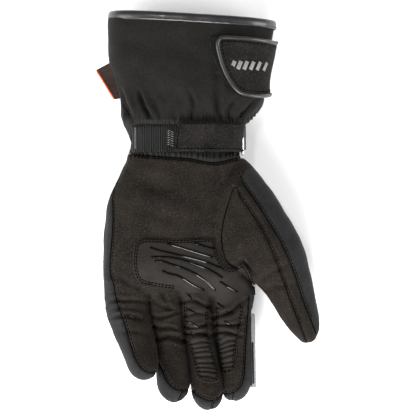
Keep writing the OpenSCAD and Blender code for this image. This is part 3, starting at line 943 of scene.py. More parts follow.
def cut_skin():
    """Builds the glove's cloth once: full surface, a lookup for draping, and its zones."""
    if SKIN:
        return SKIN
    bm = glove_cage()
    cage = bpy.data.meshes.new("cage")
    bm.to_mesh(cage)
    bm.free()
    base = puffed(subdivided(cage, 2))
    fineness = bpy.context.scene.glove_sizes.fineness
    SKIN["smooth"] = subdivided(base, 1)
    whole = subdivided(base, fineness - 2)
    press_folds(whole)
    SKIN["whole"] = whole
    for key in ("smooth", "whole"):
        mesh = SKIN[key]
        faces = [tuple(p.vertices) for p in mesh.polygons]
        SKIN[key + "_tree"] = BVHTree.FromPolygons([v.co for v in mesh.vertices], faces)
    lookup = KDTree(len(whole.vertices))
    for v in whole.vertices:
        lookup.insert(v.co, v.index)
    lookup.balance()
    SKIN["lookup"] = lookup
    SKIN["normals"] = normals_of(whole)
    shared = sum(zone_masks(whole).values()) > 1.5
    joints = KDTree(int(shared.sum()))
    for index in np.flatnonzero(shared):
        joints.insert(whole.vertices[index].co, int(index))
    joints.balance()
    SKIN["joints"] = joints
    return SKIN


def drape(x, y, lift=0.0, tree="whole_tree"):
    """The cloth's surface above a plan place, moved out by lift, and its normal."""
    hit, normal, _, _ = SKIN[tree].ray_cast(Vector((x, y, 90.0)), Vector((0, 0, -1)))
    if hit is None:
        near, normal, _, _ = SKIN[tree].find_nearest(Vector((x, y, 32.0)))
        hit = near
    return hit + normal * lift, normal


# ---------------------------------------------------------------------------
# Cutting panels out of the cloth


def split_along(bm, value):
    """Cuts every face that the zero line of a value per corner crosses."""
    bm.verts.index_update()
    level = {v: float(value[v.index]) for v in bm.verts}
    for v, f in level.items():
        if abs(f) < 0.02:
            level[v] = 0.0
    for edge in list(bm.edges):
        a, b = edge.verts
        fa, fb = level[a], level[b]
        if fa * fb < 0:
            _, fresh = bmesh.utils.edge_split(edge, a, fa / (fa - fb))
            level[fresh] = 0.0
    for face in list(bm.faces):
        on_line = [v for v in face.verts if level[v] == 0.0]
        if len(on_line) != 2:
            continue
        a, b = on_line
        if bm.edges.get((a, b)) is None:
            bmesh.utils.face_split(face, a, b)
    return level


def keep_side(bm, level, inside=True):
    doomed = []
    for face in bm.faces:
        total = sum(level[v] for v in face.verts)
        if (total < 0) != inside:
            doomed.append(face)
    bmesh.ops.delete(bm, geom=doomed, context="FACES")


def cloth_from(mesh, zones=None):
    bm = bmesh.new()
    bm.from_mesh(mesh)
    if zones is not None:
        wanted = {ZONES.index(z) for z in zones}
        doomed = [f for f in bm.faces if f.material_index not in wanted]
        bmesh.ops.delete(bm, geom=doomed, context="FACES")
    return bm


def bm_coords(bm):
    bm.verts.index_update()
    return np.array([v.co for v in bm.verts], float).reshape(-1, 3)


def trim_to(bm, measure, inside=True):
    """Cuts the cloth where measure(places) is zero and keeps one side."""
    level = split_along(bm, measure(bm_coords(bm)))
    keep_side(bm, level, inside)


def lay(bm, name, material, smooth=True):
    """Turns a bmesh in millimetres into a finished object at the origin."""
    bmesh.ops.transform(bm, matrix=Matrix.Scale(MM, 4), verts=bm.verts)
    mesh = bpy.data.meshes.new(name)
    for face in bm.faces:
        face.smooth = smooth
        face.material_index = 0
    bm.to_mesh(mesh)
    bm.free()
    made = bpy.data.objects.new(name, mesh)
    bpy.context.scene.collection.objects.link(made)
    mesh.materials.append(finish(material))
    return made


def match_normals(piece, tree="lookup", reach=0.01):
    """Gives border corners the whole cloth's normals, so that joined panels shade as one."""
    mesh = piece.data
    normals = normals_of(mesh)
    for v in mesh.vertices:
        _, index, far = SKIN[tree].find(v.co / MM)
        if far < reach and normals[v.index] @ SKIN["normals"][index] > 0.2:
            normals[v.index] = SKIN["normals"][index]
    mesh.normals_split_custom_set_from_vertices([tuple(n) for n in normals])


def push_out(bm, lift, shape=None, draped=True):
    """Moves every corner along its normal, by lift plus an optional relief."""
    bm.normal_update()
    extra = shape(bm_coords(bm)) if shape else np.zeros(len(bm.verts))
    moves = []
    for v in bm.verts:
        normal = v.normal.copy()
        if v.is_boundary and draped:
            _, index, far = SKIN["lookup"].find(v.co)
            if far < 0.02:
                normal = Vector(SKIN["normals"][index])
        moves.append((v, normal * (lift + extra[v.index])))
    for v, move in moves:
        v.co += move


def thicken(bm, depth):
    """Closes a sheet into a slab that goes down by depth from its face."""
    for face in bm.faces:
        face.normal_update()
    rim = [e for e in bm.edges if e.is_boundary]
    before = set(bm.verts)
    bm.normal_update()
    normals = {v: v.normal.copy() for v in bm.verts}
    skirt = bmesh.ops.extrude_edge_only(bm, edges=rim)["geom"]
    fresh = [g for g in skirt if isinstance(g, bmesh.types.BMVert)]
    for v in fresh:
        twin = next(e.other_vert(v) for e in v.link_edges if e.other_vert(v) in before)
        v.co = v.co - normals[twin] * depth
    bmesh.ops.recalc_face_normals(bm, faces=bm.faces)


def join_hand(piece, zone):
    """Bakes a piece's place into its mesh; the hinge of its zone is worked out here but not used."""
    if zone == "cuff":
        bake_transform(piece)
    elif zone == "palm":
        way = Vector((-0.26, -0.966, 0)) * 0.006
        centre = Vector((-0.0225, -0.046, 0.028))
        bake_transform(piece)
    else:
        (x, y, z), yaw = HINGES[zone]
        way = Vector((math.sin(math.radians(yaw)), -math.cos(math.radians(yaw)), 0))
        centre = Vector((x, y, z))
        reach = (-1.5, 12.0) if zone == "thumb" else (-2.0, 10.0)
        parent = "hand" if zone == "thumb" else "knuckles"
        (centre + way * reach[0]) * MM
        (centre + way * reach[1]) * MM
        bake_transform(piece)
    return piece


def finger_height(name):
    """Height of a finger's middle over a plan place, as a function."""
    rows = np.array(FINGERS[name])[::-1]

    def height(places):
        return np.interp(places[:, 1], rows[:, 1], rows[:, 3])

    return height


# ---------------------------------------------------------------------------
# Small sewn things


def rod_between(bm, a, b, radius, sides=6):
    """A short rod with rounded-off ends, used as one stitch."""
    way = b - a
    if way.length < 1e-6:
        return
    turn = way.to_track_quat("Z", "Y").to_matrix().to_4x4()
    place = Matrix.Translation((a + b) / 2) @ turn
    made = bmesh.ops.create_uvsphere(bm, u_segments=sides, v_segments=4, radius=1.0)["verts"]
    shape = Matrix.Diagonal((radius, radius, way.length / 2 + radius * 0.3, 1))
    bmesh.ops.transform(bm, matrix=place @ shape, verts=made)


def stitch_row(bm, line, lift, tree="whole_tree", pitch=None, closed=False, fill=0.72):
    sizes = bpy.context.scene.glove_sizes
    pitch = pitch or sizes.stitch_pitch
    points = even_points(np.array(line, float), pitch, closed)
    for a, b in zip(points[:-1], points[1:]):
        middle, half = (a + b) / 2, (b - a) / 2 * fill
        pa, _ = drape(*(middle - half), lift, tree)
        pb, _ = drape(*(middle + half), lift, tree)
        if (pa - pb).length > 2.2 * pitch:
            continue
        rod_between(bm, pa, pb, sizes.stitch_radius)


def tube(bm, path, radius, sides=10, flat=1.0, ups=None, closed=False):
    """Sweeps a round along a path of places by extruding its ring."""
    count = len(path)
    ring = None
    first = None
    for i, place in enumerate(path):
        before = path[(i - 1) % count] if closed or i else path[0]
        after = path[(i + 1) % count] if closed or i < count - 1 else path[-1]
        along = (after - before).normalized()
        up = (ups[i] if ups else Vector((0, 0, 1))).normalized()
        across = along.cross(up).normalized()
        up = across.cross(along).normalized()
        spots = []
        for k in range(sides):
            turn = 2 * math.pi * k / sides
            spots.append(place + across * math.cos(turn) * radius + up * math.sin(turn) * radius * flat)
        if ring is None:
            ring = bmesh.ops.create_circle(bm, cap_ends=False, segments=sides, radius=1)["verts"]
            for corner, spot in zip(ring, spots):
                corner.co = spot
            first = ring
        else:
            ring = grow(bm, ring, spots, 0)
    if closed:
        edges = []
        for loop in (first, ring):
            edges += [bm.edges.get(pair) for pair in zip(loop, loop[1:] + loop[:1])]
        bmesh.ops.bridge_loops(bm, edges=edges)
    else:
        for loop in (first, ring):
            bmesh.ops.contextual_create(bm, geom=loop)


def flat_bar(bm, a, b, up, width, thick):
    """A flat bar from a to b with bevelled edges, its face towards up."""
    along = (b - a).normalized()
    across = along.cross(up).normalized()
    up = across.cross(along)
    frame_of = Matrix((across, along, up)).transposed().to_4x4()
    size = Matrix.Diagonal((width, (b - a).length, thick, 1))
    place = Matrix.Translation((a + b) / 2) @ frame_of @ size
    made = bmesh.ops.create_cube(bm, size=1, matrix=place)["verts"]
    edges = list({e for v in made for e in v.link_edges})
    bmesh.ops.bevel(
        bm, geom=edges, offset=thick * 0.3, affect="EDGES", segments=2, profile=0.5, material=-1
    )


def draped_tube(bm, line, radius, lift, flat=1.0, sides=8, tree="whole_tree", pitch=1.4, closed=False):
    points = even_points(np.array(line, float), pitch, closed)
    if closed:
        points = points[:-1]
    path, ups = [], []
    for x, y in points:
        place, normal = drape(x, y, lift, tree)
        path.append(place)
        ups.append(normal)
    tube(bm, path, radius, sides, flat, ups, closed)


def wrist_height(x, y, lift):
    """Height of a smooth strap round the wrist."""
    rows = np.array(WRIST_RINGS)[::-1]
    at = np.clip(y, rows[0, 0], rows[-1, 0])
    left, right, half = (float(np.interp(at, rows[:, 0], rows[:, k])) for k in (2, 3, 5))
    left, right = left - lift, right + lift
    return 28.0 + (half + lift) * height_share(x, left, right, 2.6)


def strap_grid(bm, x_from, x_to, y_from, y_to, lift, thick, across, along, relief=None, lean=0.0):
    """A strap laid over the wrist: a grid of cells shaped to the wrist, closed underneath."""
    made = bmesh.ops.create_grid(bm, x_segments=across, y_segments=along, size=0.5)["verts"]
    for v in made:
        sx, sy = v.co.x + 0.5, v.co.y + 0.5
        x = x_from + (x_to - x_from) * sx
        x += lean * (1 - sx) * (sy - 0.5)
        y = y_from + (y_to - y_from) * sy
        edge = min(sx, 1 - sx, sy * 0.5, (1 - sy) * 0.5)
        droop = 0.35 * math.exp(-((edge * (x_to - x_from) / 0.8) ** 2))
        extra = (relief(x, y) if relief else 0.0) - droop
        v.co = Vector((x, y, wrist_height(x, y, lift + thick) + extra))
    bm.normal_update()
    if sum(f.normal.z for f in bm.faces) < 0:
        bmesh.ops.reverse_faces(bm, faces=bm.faces)
    thicken(bm, thick)


# ---------------------------------------------------------------------------
# Pieces


def panel_piece(name, zone, measure, material, nodes):
    bm = cloth_from(SKIN["whole"], (zone,))
    for check, side in measure:
        trim_to(bm, check, side)
    if not bm.faces:
        raise RuntimeError(f"panel {name} has no cloth")
    piece = lay(bm, name, material)
    match_normals(piece)
    join_hand(piece, zone)
    if nodes:
        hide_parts(*nodes)
    return piece


def front_of(name):
    outline = smooth_line(FRONTS[name], True)
    height = finger_height(name)

    def measure(places):
        return np.maximum(inside_outline(places[:, :2], outline), (height(places) - 1.0 - places[:, 2]) * 0.7)

    return measure


def palm_measure(places):
    plan = places[:, :2]
    far_hem, side_hem = line_distance(plan, smooth_line(WRIST_HEM))
    far_side, side_side = line_distance(plan, smooth_line(SIDE_SEAM))
    above_hem = far_hem * side_hem
    left = -far_side * side_side
    return np.maximum(np.maximum(above_hem, left), (26.0 - places[:, 2]) * 0.7)


def wrist_measure(places):
    far_hem, side_hem = line_distance(places[:, :2], smooth_line(WRIST_HEM))
    return -far_hem * side_hem


class GLOVE_OT_skin(bpy.types.Operator):
    """Sew the outer cloth: palm, back, fingers, thumb and cuff panels"""

    bl_idname = "glove.skin"
    bl_label = "Outer cloth"

    def execute(self, context):
        cut_skin()
        panel_piece(
            "palm_cloth", "palm", ((palm_measure, True),), "palm",
            ("palm_panel", "knuckle_palm_panel"),
        )
        panel_piece(
            "back_cloth", "palm", ((palm_measure, False), (wrist_measure, False)), "back",
            ("back_panel", "knuckle_back_panel"),
        )
        panel_piece(
            "wrist_cloth", "palm", ((palm_measure, False), (wrist_measure, True)), "elastic",
            ("wrist_sleeve", "wrist_elastic"),
        )
        panel_piece(
            "cuff_palm_cloth", "cuff", ((lambda p: 26.0 - p[:, 2], True),), "cuff",
            ("cuff_palm_panel",),
        )
        panel_piece(
            "cuff_back_cloth", "cuff", ((lambda p: 26.0 - p[:, 2], False),), "cuff",
            ("cuff_back_panel",),
        )
        gusset, strip = smooth_line(GUSSET_SEAM), smooth_line(THUMB_SEAM)

        def inner(places):
            far, side = line_distance(places[:, :2], gusset)
            return np.maximum(far * side, (22.0 - places[:, 2]) * 0.7)

        def middle(places):
            far, side = line_distance(places[:, :2], strip)
            return np.maximum(far * side, (22.0 - places[:, 2]) * 0.7)

        panel_piece(
            "thumb_gusset_cloth", "thumb", ((inner, True),), "palm",
            ("thumb_gusset", "thumb_front_panel"),
        )
        panel_piece(
            "thumb_strip_cloth", "thumb", ((inner, False), (middle, True)), "palm", (),
        )
        panel_piece(
            "thumb_outer_cloth", "thumb", ((inner, False), (middle, False)), "back",
            ("thumb_back_panel",),
        )
        for name in ("little", "ring", "middle", "index"):
            measure = front_of(name)
            panel_piece(
                f"{name}_front_cloth", name, ((measure, True),), "palm",
                (f"{name}_front_panel",),
            )
            panel_piece(
                f"{name}_back_cloth", name, ((measure, False),), "back",
                (f"{name}_back_panel",),
            )
        return {"FINISHED"}


class GLOVE_OT_lining(bpy.types.Operator):
    """Sew the fleece lining inside the cuff, hand, thumb and fingers"""

    bl_idname = "glove.lining"
    bl_label = "Fleece lining"

    def execute(self, context):
        nodes = {
            "cuff": ("cuff_lining",), "palm": ("hand_lining", "knuckle_lining"),
            "thumb": ("thumb_base_lining", "thumb_lining"), "little": ("little_lining",),
            "ring": ("ring_lining",), "middle": ("middle_lining",), "index": ("index_lining",),
        }
        for zone in ZONES:
            bm = cloth_from(SKIN["smooth"], (zone,))
            push_out(bm, -4.2 if zone in ("cuff", "palm") else -2.8)
            bmesh.ops.reverse_faces(bm, faces=bm.faces)
            piece = lay(bm, f"{zone}_fleece", "fleece")
            join_hand(piece, zone)
            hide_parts(*nodes[zone])
        return {"FINISHED"}


class GLOVE_OT_binding(bpy.types.Operator):
    """Bind the cuff opening with glossy tape"""

    bl_idname = "glove.binding"
    bl_label = "Cuff binding"

    def execute(self, context):
        width = context.scene.glove_sizes.binding_width
        bm = cloth_from(SKIN["whole"], ("cuff",))
        rim = [e for e in bm.edges if e.is_boundary and min(v.co.y for v in e.verts) > 120]
        start = rim[0].verts[0]
        loop, current = [start], start
        used = set()
        while True:
            step = next((e for e in current.link_edges if e in rim and e not in used), None)
            if step is None:
                break
            used.add(step)
            current = step.other_vert(current)
            if current is start:
                break
            loop.append(current)
        bm.normal_update()
        places = [v.co.copy() for v in loop]
        centre = sum(places, Vector()) / len(places)
        outs = []
        for p in places:
            out = p - centre
            out.y = 0
            out.z *= 2.2
            outs.append(out.normalized())
        bm.free()
        profile = (
            (0.10, -width * 0.98), (0.75, -width), (1.05, -width * 0.75), (1.15, -width * 0.35),
            (0.9, 0.2), (0.1, 1.1), (-1.6, 1.5), (-3.4, 1.2), (-4.6, 0.3), (-5.0, -width * 0.3),
            (-5.1, -width * 0.8), (-4.7, -width),
        )
        made = bmesh.new()
        ring = bmesh.ops.create_circle(made, cap_ends=False, segments=len(places), radius=1)["verts"]
        for step, (off, rise) in enumerate(profile):
            spots = []
            for i, (p, out) in enumerate(zip(places, outs)):
                local = rise + (0.12 * math.sin(i * 0.9) if 0 < step < 4 else 0.0)
                spots.append(p + out * off + Vector((0, local, 0)))
            if step == 0:
                for corner, spot in zip(ring, spots):
                    corner.co = spot
            else:
                ring = grow(made, ring, spots, 0)
        bmesh.ops.recalc_face_normals(made, faces=made.faces)
        piece = lay(made, "cuff_binding_tape", "piping")
        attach(piece, "cuff")
        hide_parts("cuff_binding")
        threads = bmesh.new()
        for p, out, q in zip(places[::2], outs[::2], places[1::2]):
            a = p + out * 1.1 + Vector((0, -width + 1.4, 0))
            b = q + out * 1.1 + Vector((0, -width + 1.4, 0))
            rod_between(threads, a.lerp(b, 0.1), a.lerp(b, 0.9), 0.24)
        stitches = lay(threads, "cuff_binding_stitches", "thread")
        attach(stitches, "cuff")
        return {"FINISHED"}


class GLOVE_OT_grip(bpy.types.Operator):
    """Sew the grip patch and the pleated strips, and print their silicone lines"""

    bl_idname = "glove.grip"
    bl_label = "Grip patch and strips"

    def execute(self, context):
        sizes = context.scene.glove_sizes
        lift = sizes.patch_lift
        outline = smooth_line(PATCH, True, 1)

        def patch(places):
            inside = inside_outline(places[:, :2], outline)
            return np.maximum(inside, (30.0 - places[:, 2]) * 0.7)

        bm = cloth_from(SKIN["whole"], ("palm", "thumb"))
        trim_to(bm, patch, True)

        def ease(places):
            deep = -inside_outline(places[:, :2], outline)
            rows = sum(np.exp(-(((deep - row) / 0.45) ** 2)) for row in (1.3, 2.9))
            return -0.6 * np.exp(-((deep / 0.8) ** 2)) - 0.35 * rows

        push_out(bm, lift, ease)
        thicken(bm, lift + 0.4)
        piece = lay(bm, "grip_patch_leather", "leather")
        match_normals(piece, "joints", lift + 0.35)
        join_hand(piece, "palm")
        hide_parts("grip_patch", "knuckle_grip_patch")

        lines = bmesh.new()
        for points in SILICONE:
            draped_tube(lines, smooth_line(points), sizes.silicone_radius, lift + 0.3, 0.85)
        piece = lay(lines, "silicone_lines", "silicone")
        join_hand(piece, "palm")
        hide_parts("grip_ribs")

        threads = bmesh.new()
        edge = [p for p in PATCH if p[1] > -62.5]
        start = edge.index((37.5, -60))
        ordered = edge[start + 1:] + edge[:start + 1]
        sewn = smooth_line(ordered, rounds=2)
        for inset in (1.3, 2.9):
            stitch_row(threads, offset_line(sewn, -inset * side_of(outline)), lift + 0.1)
        piece = lay(threads, "grip_patch_stitches", "thread")
        join_hand(piece, "palm")

        for name, points in STRIPS.items():
            self.strip(name, points, lift)
        return {"FINISHED"}

    def strip(self, name, points, lift):
        sizes = bpy.context.scene.glove_sizes
        outline = smooth_line(points, True, 1)
        top, bottom = PLEATS[name]
        centres = np.array(FINGERS[name])[::-1, :2]

        def inside(places):
            return np.maximum(
                inside_outline(places[:, :2], outline), (finger_height(name)(places) - places[:, 2]) * 0.7
            )

        def relief(places):
            y = places[:, 1]
            middle = np.interp(y, centres[:, 1], centres[:, 0])
            bow = np.clip(1 - ((places[:, 0] - middle) / 9.0) ** 2, 0, 1) * 2.6
            wander = 0.5 * np.sin(y * 0.43 + 1.0) + 0.4 * np.sin(places[:, 0] * 0.31 + y * 0.2)
            turn = (y - top - bow + wander) / sizes.pleat_pitch * math.pi
            share = np.clip((top - y) / 2.5, 0, 1) * np.clip((y - bottom) / 1.5 + 1, 0, 1)
            deep = -inside_outline(places[:, :2], outline)
            edge = np.clip((deep - 1.2) / 1.4, 0, 1)
            row = np.exp(-(((deep - 1.2) / 0.45) ** 2))
            pleat = share * edge * sizes.pleat_height * (np.abs(np.sin(turn)) ** 0.6 - 0.75)
            return pleat - 0.45 * np.exp(-((deep / 0.8) ** 2)) - 0.25 * row

        bm = cloth_from(SKIN["whole"], (name,))
        trim_to(bm, inside, True)
        push_out(bm, lift, relief)
        thicken(bm, lift + 0.4)
        piece = lay(bm, f"{name}_grip_leather", "leather")
        match_normals(piece, "joints", lift + 0.35)
        join_hand(piece, name)
        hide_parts(f"{name}_grip_strip")
        bits = bmesh.new()
        for line in SILICONE_BITS[name]:
            draped_tube(bits, smooth_line(line), sizes.silicone_radius * 0.8, lift + 0.3, 0.85)
        piece = lay(bits, f"{name}_silicone_bits", "silicone")
        join_hand(piece, name)
        threads = bmesh.new()
        ends = [p for p in points if p[1] < -61]
        sewn = smooth_line(ends, rounds=2)
        for inset in (1.2, 2.5):
            stitch_row(threads, offset_line(sewn, inset), lift + 0.1)
        piece = lay(threads, f"{name}_grip_stitches", "thread")
        join_hand(piece, name)


def side_of(outline):
    """1 where a closed outline runs clockwise, -1 where it doesn't."""
    x, y = outline[:, 0], outline[:, 1]
    area = np.sum(x * np.roll(y, -1) - np.roll(x, -1) * y)
    return 1.0 if area < 0 else -1.0


class GLOVE_OT_seams(bpy.types.Operator):
    """Sew the visible rows of stitches beside the seams"""

    bl_idname = "glove.seams"
    bl_label = "Seam stitches"

    def execute(self, context):
        rows = {
            "palm": [
                offset_line(smooth_line(WRIST_HEM[1:-1]), -2.0),
                offset_line(smooth_line(SIDE_SEAM[2:9]), 1.6),
            ],
            "little": [offset_line(smooth_line(SIDE_SEAM[9:-1]), 1.6)],
            "ring": [
                offset_line(smooth_line(FRONTS["ring"][3:8]), 1.5),
                offset_line(smooth_line(TIP_SEAMS["ring"]), 1.2),
            ],
            "middle": [
                offset_line(smooth_line(FRONTS["middle"][3:7]), 1.5),
                offset_line(smooth_line(TIP_SEAMS["middle"]), 1.2),
            ],
            "index": [offset_line(smooth_line(FRONTS["index"][3:10]), 1.5)],
            "thumb": [
                offset_line(smooth_line(GUSSET_SEAM[1:8]), 1.4),
                offset_line(smooth_line(THUMB_SEAM[1:8]), 1.4),
            ],
            "cuff": [
                np.array([(35.0, 82.4), (30.0, 75.0), (24.5, 68.5)]),
                np.array([(-64.0, 79.0), (-60.0, 72.0), (-57.5, 68.0)]),
            ],
        }
        for zone, lines in rows.items():
            bm = bmesh.new()
            for line in lines:
                stitch_row(bm, line, STITCH_LIFT)
            for line in seam_lines().get(zone, []):
                spots = even_points(line, 1.2)
                run = [q for q in spots if self.on_zone(q, zone)]
                if len(run) > 3:
                    draped_tube(bm, run, 0.42, -0.1)
            piece = lay(bm, f"{zone}_seam_stitches", "thread")
            join_hand(piece, zone)
        return {"FINISHED"}

    def on_zone(self, spot, zone):
        """Whether the cloth over a plan place is part of a zone."""
        hit, _, index, _ = SKIN["whole_tree"].ray_cast(Vector((*spot, 90.0)), Vector((0, 0, -1)))
        return hit is not None and ZONES[SKIN["whole"].polygons[index].material_index] == zone


class GLOVE_OT_strap(bpy.types.Operator):
    """Lay the ribbed webbing, its pile and the fold-back tab round the wrist"""

    bl_idname = "glove.strap"
    bl_label = "Wrist strap"

    def execute(self, context):
        sizes = context.scene.glove_sizes
        pitch = sizes.rib_pitch

        def ribs(x, y):
            return 0.5 * math.cos(2 * math.pi * x / pitch)

        bm = bmesh.new()
        strap_grid(bm, -56.0, 19.0, 43.0, 63.0, 0.3, 1.3, 260, 14, ribs)
        piece = lay(bm, "ribbed_webbing", "webbing")
        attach(piece, "hand")
        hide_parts("wrist_webbing")

        bm = bmesh.new()
        strap_grid(bm, -21.0, 12.0, 45.0, 61.5, 1.9, 0.9, 20, 12)
        piece = lay(bm, "webbing_loops", "pile")
        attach(piece, "hand")
        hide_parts("webbing_pile")

        bm = bmesh.new()
        strap_grid(bm, -19.0, 8.0, 46.0, 61.0, 3.0, 0.9, 20, 12)
        piece = lay(bm, "wrist_tab_hooks", "pile")
        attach(piece, "wrist_tab")
        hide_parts("wrist_tab_pad")

        def cover(x, y):
            return 0.25 * math.sin(x * 0.21 + y * 0.1) + 0.15 * math.sin(x * 0.5 - y * 0.3)

        bm = bmesh.new()
        strap_grid(bm, -23.4, 27.4, 43.6, 65.2, 4.3, 1.9, 72, 26, cover, 3.0)
        piece = lay(bm, "wrist_tab_cloth", "tab")
        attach(piece, "wrist_tab")
        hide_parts("wrist_tab_panel")

        bm = bmesh.new()
        inset = 1.5
        corners = (
            (25.5, 65.2 - inset), (-23.4 + 1.2 + inset, 65.2 - inset), (-23.6 + inset, 54.4),
            (-23.4 - 1.2 + inset, 43.6 + inset), (25.5, 43.6 + inset),
        )
        points = even_points(np.array(corners), sizes.stitch_pitch)
        for a, b in zip(points[:-1], points[1:]):
            pa, pb = (
                Vector((*(a + (b - a) * s), wrist_height(*(a + (b - a) * s), 6.25)))
                for s in (0.14, 0.86)
            )
            rod_between(bm, pa, pb, sizes.stitch_radius)
        piece = lay(bm, "wrist_tab_stitches", "thread")
        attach(piece, "wrist_tab")

        # Bar tacks on the webbing, coloured in the light tab-mark grey as a painted highlight for the glints
        # on the tacks.
        bm = bmesh.new()
        for row in range(11):
            x, y = -54.6, 45.6 + row * 1.45
            a = Vector((x, y, wrist_height(x, y, 2.1)))
            b = Vector((x + 1.2, y + 1.0, wrist_height(x + 1.2, y + 1.0, 2.1)))
            rod_between(bm, a, b, 0.3)
        for k in range(7):
            y = 48.0 + k * 1.7
            for x0, x1 in ((-30, -27.6), (-27.4, -25)):
                a = Vector((x0, y, wrist_height(x0, y, 2.2)))
                b = Vector((x1, y + (0.9 if x0 < -28 else -0.9), wrist_height(x1, y, 2.2)))
                rod_between(bm, a, b, 0.28)
        piece = lay(bm, "webbing_tacks_painted_highlight", "mark")
        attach(piece, "hand")
        return {"FINISHED"}


class GLOVE_OT_metal(bpy.types.Operator):
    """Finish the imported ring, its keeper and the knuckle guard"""

    bl_idname = "glove.metal"
    bl_label = "Ring, keeper and guard"

    def execute(self, context):
        for node, name in (
            ("strap_ring", "steel"), ("ring_keeper", "webbing"), ("knuckle_guard", "guard"),
        ):
            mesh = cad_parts[node].data
            mesh.materials.clear()
            mesh.materials.append(finish(name))
        return {"FINISHED"}


class GLOVE_OT_wiper(bpy.types.Operator):
    """Mould the rubber wiper blade along the index finger, with dark bars on it as painted shade for the slit
    beside it
    """

    bl_idname = "glove.wiper"
    bl_label = "Visor wiper"

    def execute(self, context):
        up = Vector((0, 0.13, 1))
        bm = bmesh.new()
        flat_bar(bm, Vector((33.3, -79.0, 30.2)), Vector((34.4, -134.2, 37.4)), up, 4.9, 3.0)
        piece = lay(bm, "wiper_blade", "rubber")
        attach(piece, "index")
        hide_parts("visor_wiper")
        # Dark bars laid along the blade as painted shade: they stand in for the shadow in the gap between
        # blade and finger.
        bm = bmesh.new()
        flat_bar(bm, Vector((34.0, -100.0, 33.6)), Vector((34.6, -131.5, 37.7)), up, 1.5, 3.4)
        flat_bar(bm, Vector((32.2, -80.0, 30.5)), Vector((33.0, -133.0, 37.4)), up, 0.8, 3.3)
        piece = lay(bm, "wiper_gap_painted_shade", "webbing")
        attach(piece, "index")
        return {"FINISHED"}


class GLOVE_OT_cuff_tab(bpy.types.Operator):
    """Sew the cuff's closure tab with its piping, stitches and plain mark, and the pile beside it"""

    bl_idname = "glove.cuff_tab"
    bl_label = "Cuff closure tab"

    def execute(self, context):
        sizes = context.scene.glove_sizes
        outline = smooth_line(TAB, True, 2)

        def tab(places):
            plan = places[:, :2]
            return np.maximum(inside_outline(plan, outline), (28.6 - places[:, 2]) * 0.7)

        bm = cloth_from(SKIN["smooth"], ("cuff",))
        trim_to(bm, tab, True)
        push_out(bm, 4.2, lambda p: 0.4 * np.sin(p[:, 0] * 0.16 + p[:, 1] * 0.11), False)
        thicken(bm, 1.8)
        piece = lay(bm, "cuff_tab_cloth", "tab")
        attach(piece, "cuff_tab")
        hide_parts("cuff_tab_panel")

        inner = offset_line(even_points(outline, 4.0, True)[:-1], -4.0 * side_of(outline), True)
        bm = cloth_from(SKIN["smooth"], ("cuff",))
        trim_to(bm, lambda p: np.maximum(inside_outline(p[:, :2], inner), (32.5 - p[:, 2]) * 0.7), True)
        push_out(bm, 2.3, draped=False)
        thicken(bm, 0.7)
        piece = lay(bm, "cuff_tab_hooks", "pile")
        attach(piece, "cuff_tab")
        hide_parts("cuff_tab_pad")

        def root(places):
            fore = np.maximum(np.abs(places[:, 1] - 106.5) - 17.0, 44.5 - places[:, 0])
            return np.maximum(fore, (places[:, 2] - 30.5) * 0.7)

        bm = cloth_from(SKIN["smooth"], ("cuff",))
        trim_to(bm, root, True)
        push_out(bm, 1.5, draped=False)
        thicken(bm, 1.2)
        piece = lay(bm, "cuff_tab_root", "tab")
        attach(piece, "cuff")
        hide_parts("cuff_tab_base")

        edge = smooth_line(
            ((52.6, 125.4), (30, 127.4), (12, 128.0), (8.6, 127.6), (6.8, 124.4), (7.4, 118.8),
             (11, 105.1), (16.3, 94.4), (20.6, 88.8), (25, 85.9), (34.3, 84.2), (41.7, 85.0),
             (46.2, 87.0)), rounds=3,
        )
        bm = bmesh.new()
        draped_tube(bm, edge, sizes.piping_radius, 4.3, 0.9, 10, "smooth_tree", 2.4)
        piece = lay(bm, "cuff_tab_cord", "piping")
        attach(piece, "cuff_tab")
        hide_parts("cuff_tab_piping")

        bm = bmesh.new()
        stitch_row(bm, offset_line(edge, 3.0), 4.4, "smooth_tree")
        piece = lay(bm, "cuff_tab_stitches", "thread")
        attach(piece, "cuff_tab")

        bm = bmesh.new()
        for k in range(6):
            x = 17.0 + k * 4.4
            foot, _ = drape(x, 104.4, 4.3, "smooth_tree")
            head, up = drape(x + 2.4, 110.6, 4.3, "smooth_tree")
            flat_bar(bm, foot, head, up, 3.0, 0.5)
        piece = lay(bm, "cuff_tab_mark", "mark")
        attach(piece, "cuff_tab")

        pile = smooth_line(PILE, True, 2)
        bm = cloth_from(SKIN["whole"], ("cuff",))
        trim_to(bm, lambda p: np.maximum(inside_outline(p[:, :2], pile), 36.0 - p[:, 2]), True)
        push_out(bm, 1.1)
        thicken(bm, 1.3)
        piece = lay(bm, "cuff_loops", "pile")
        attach(piece, "cuff")
        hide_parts("cuff_pile")
        return {"FINISHED"}


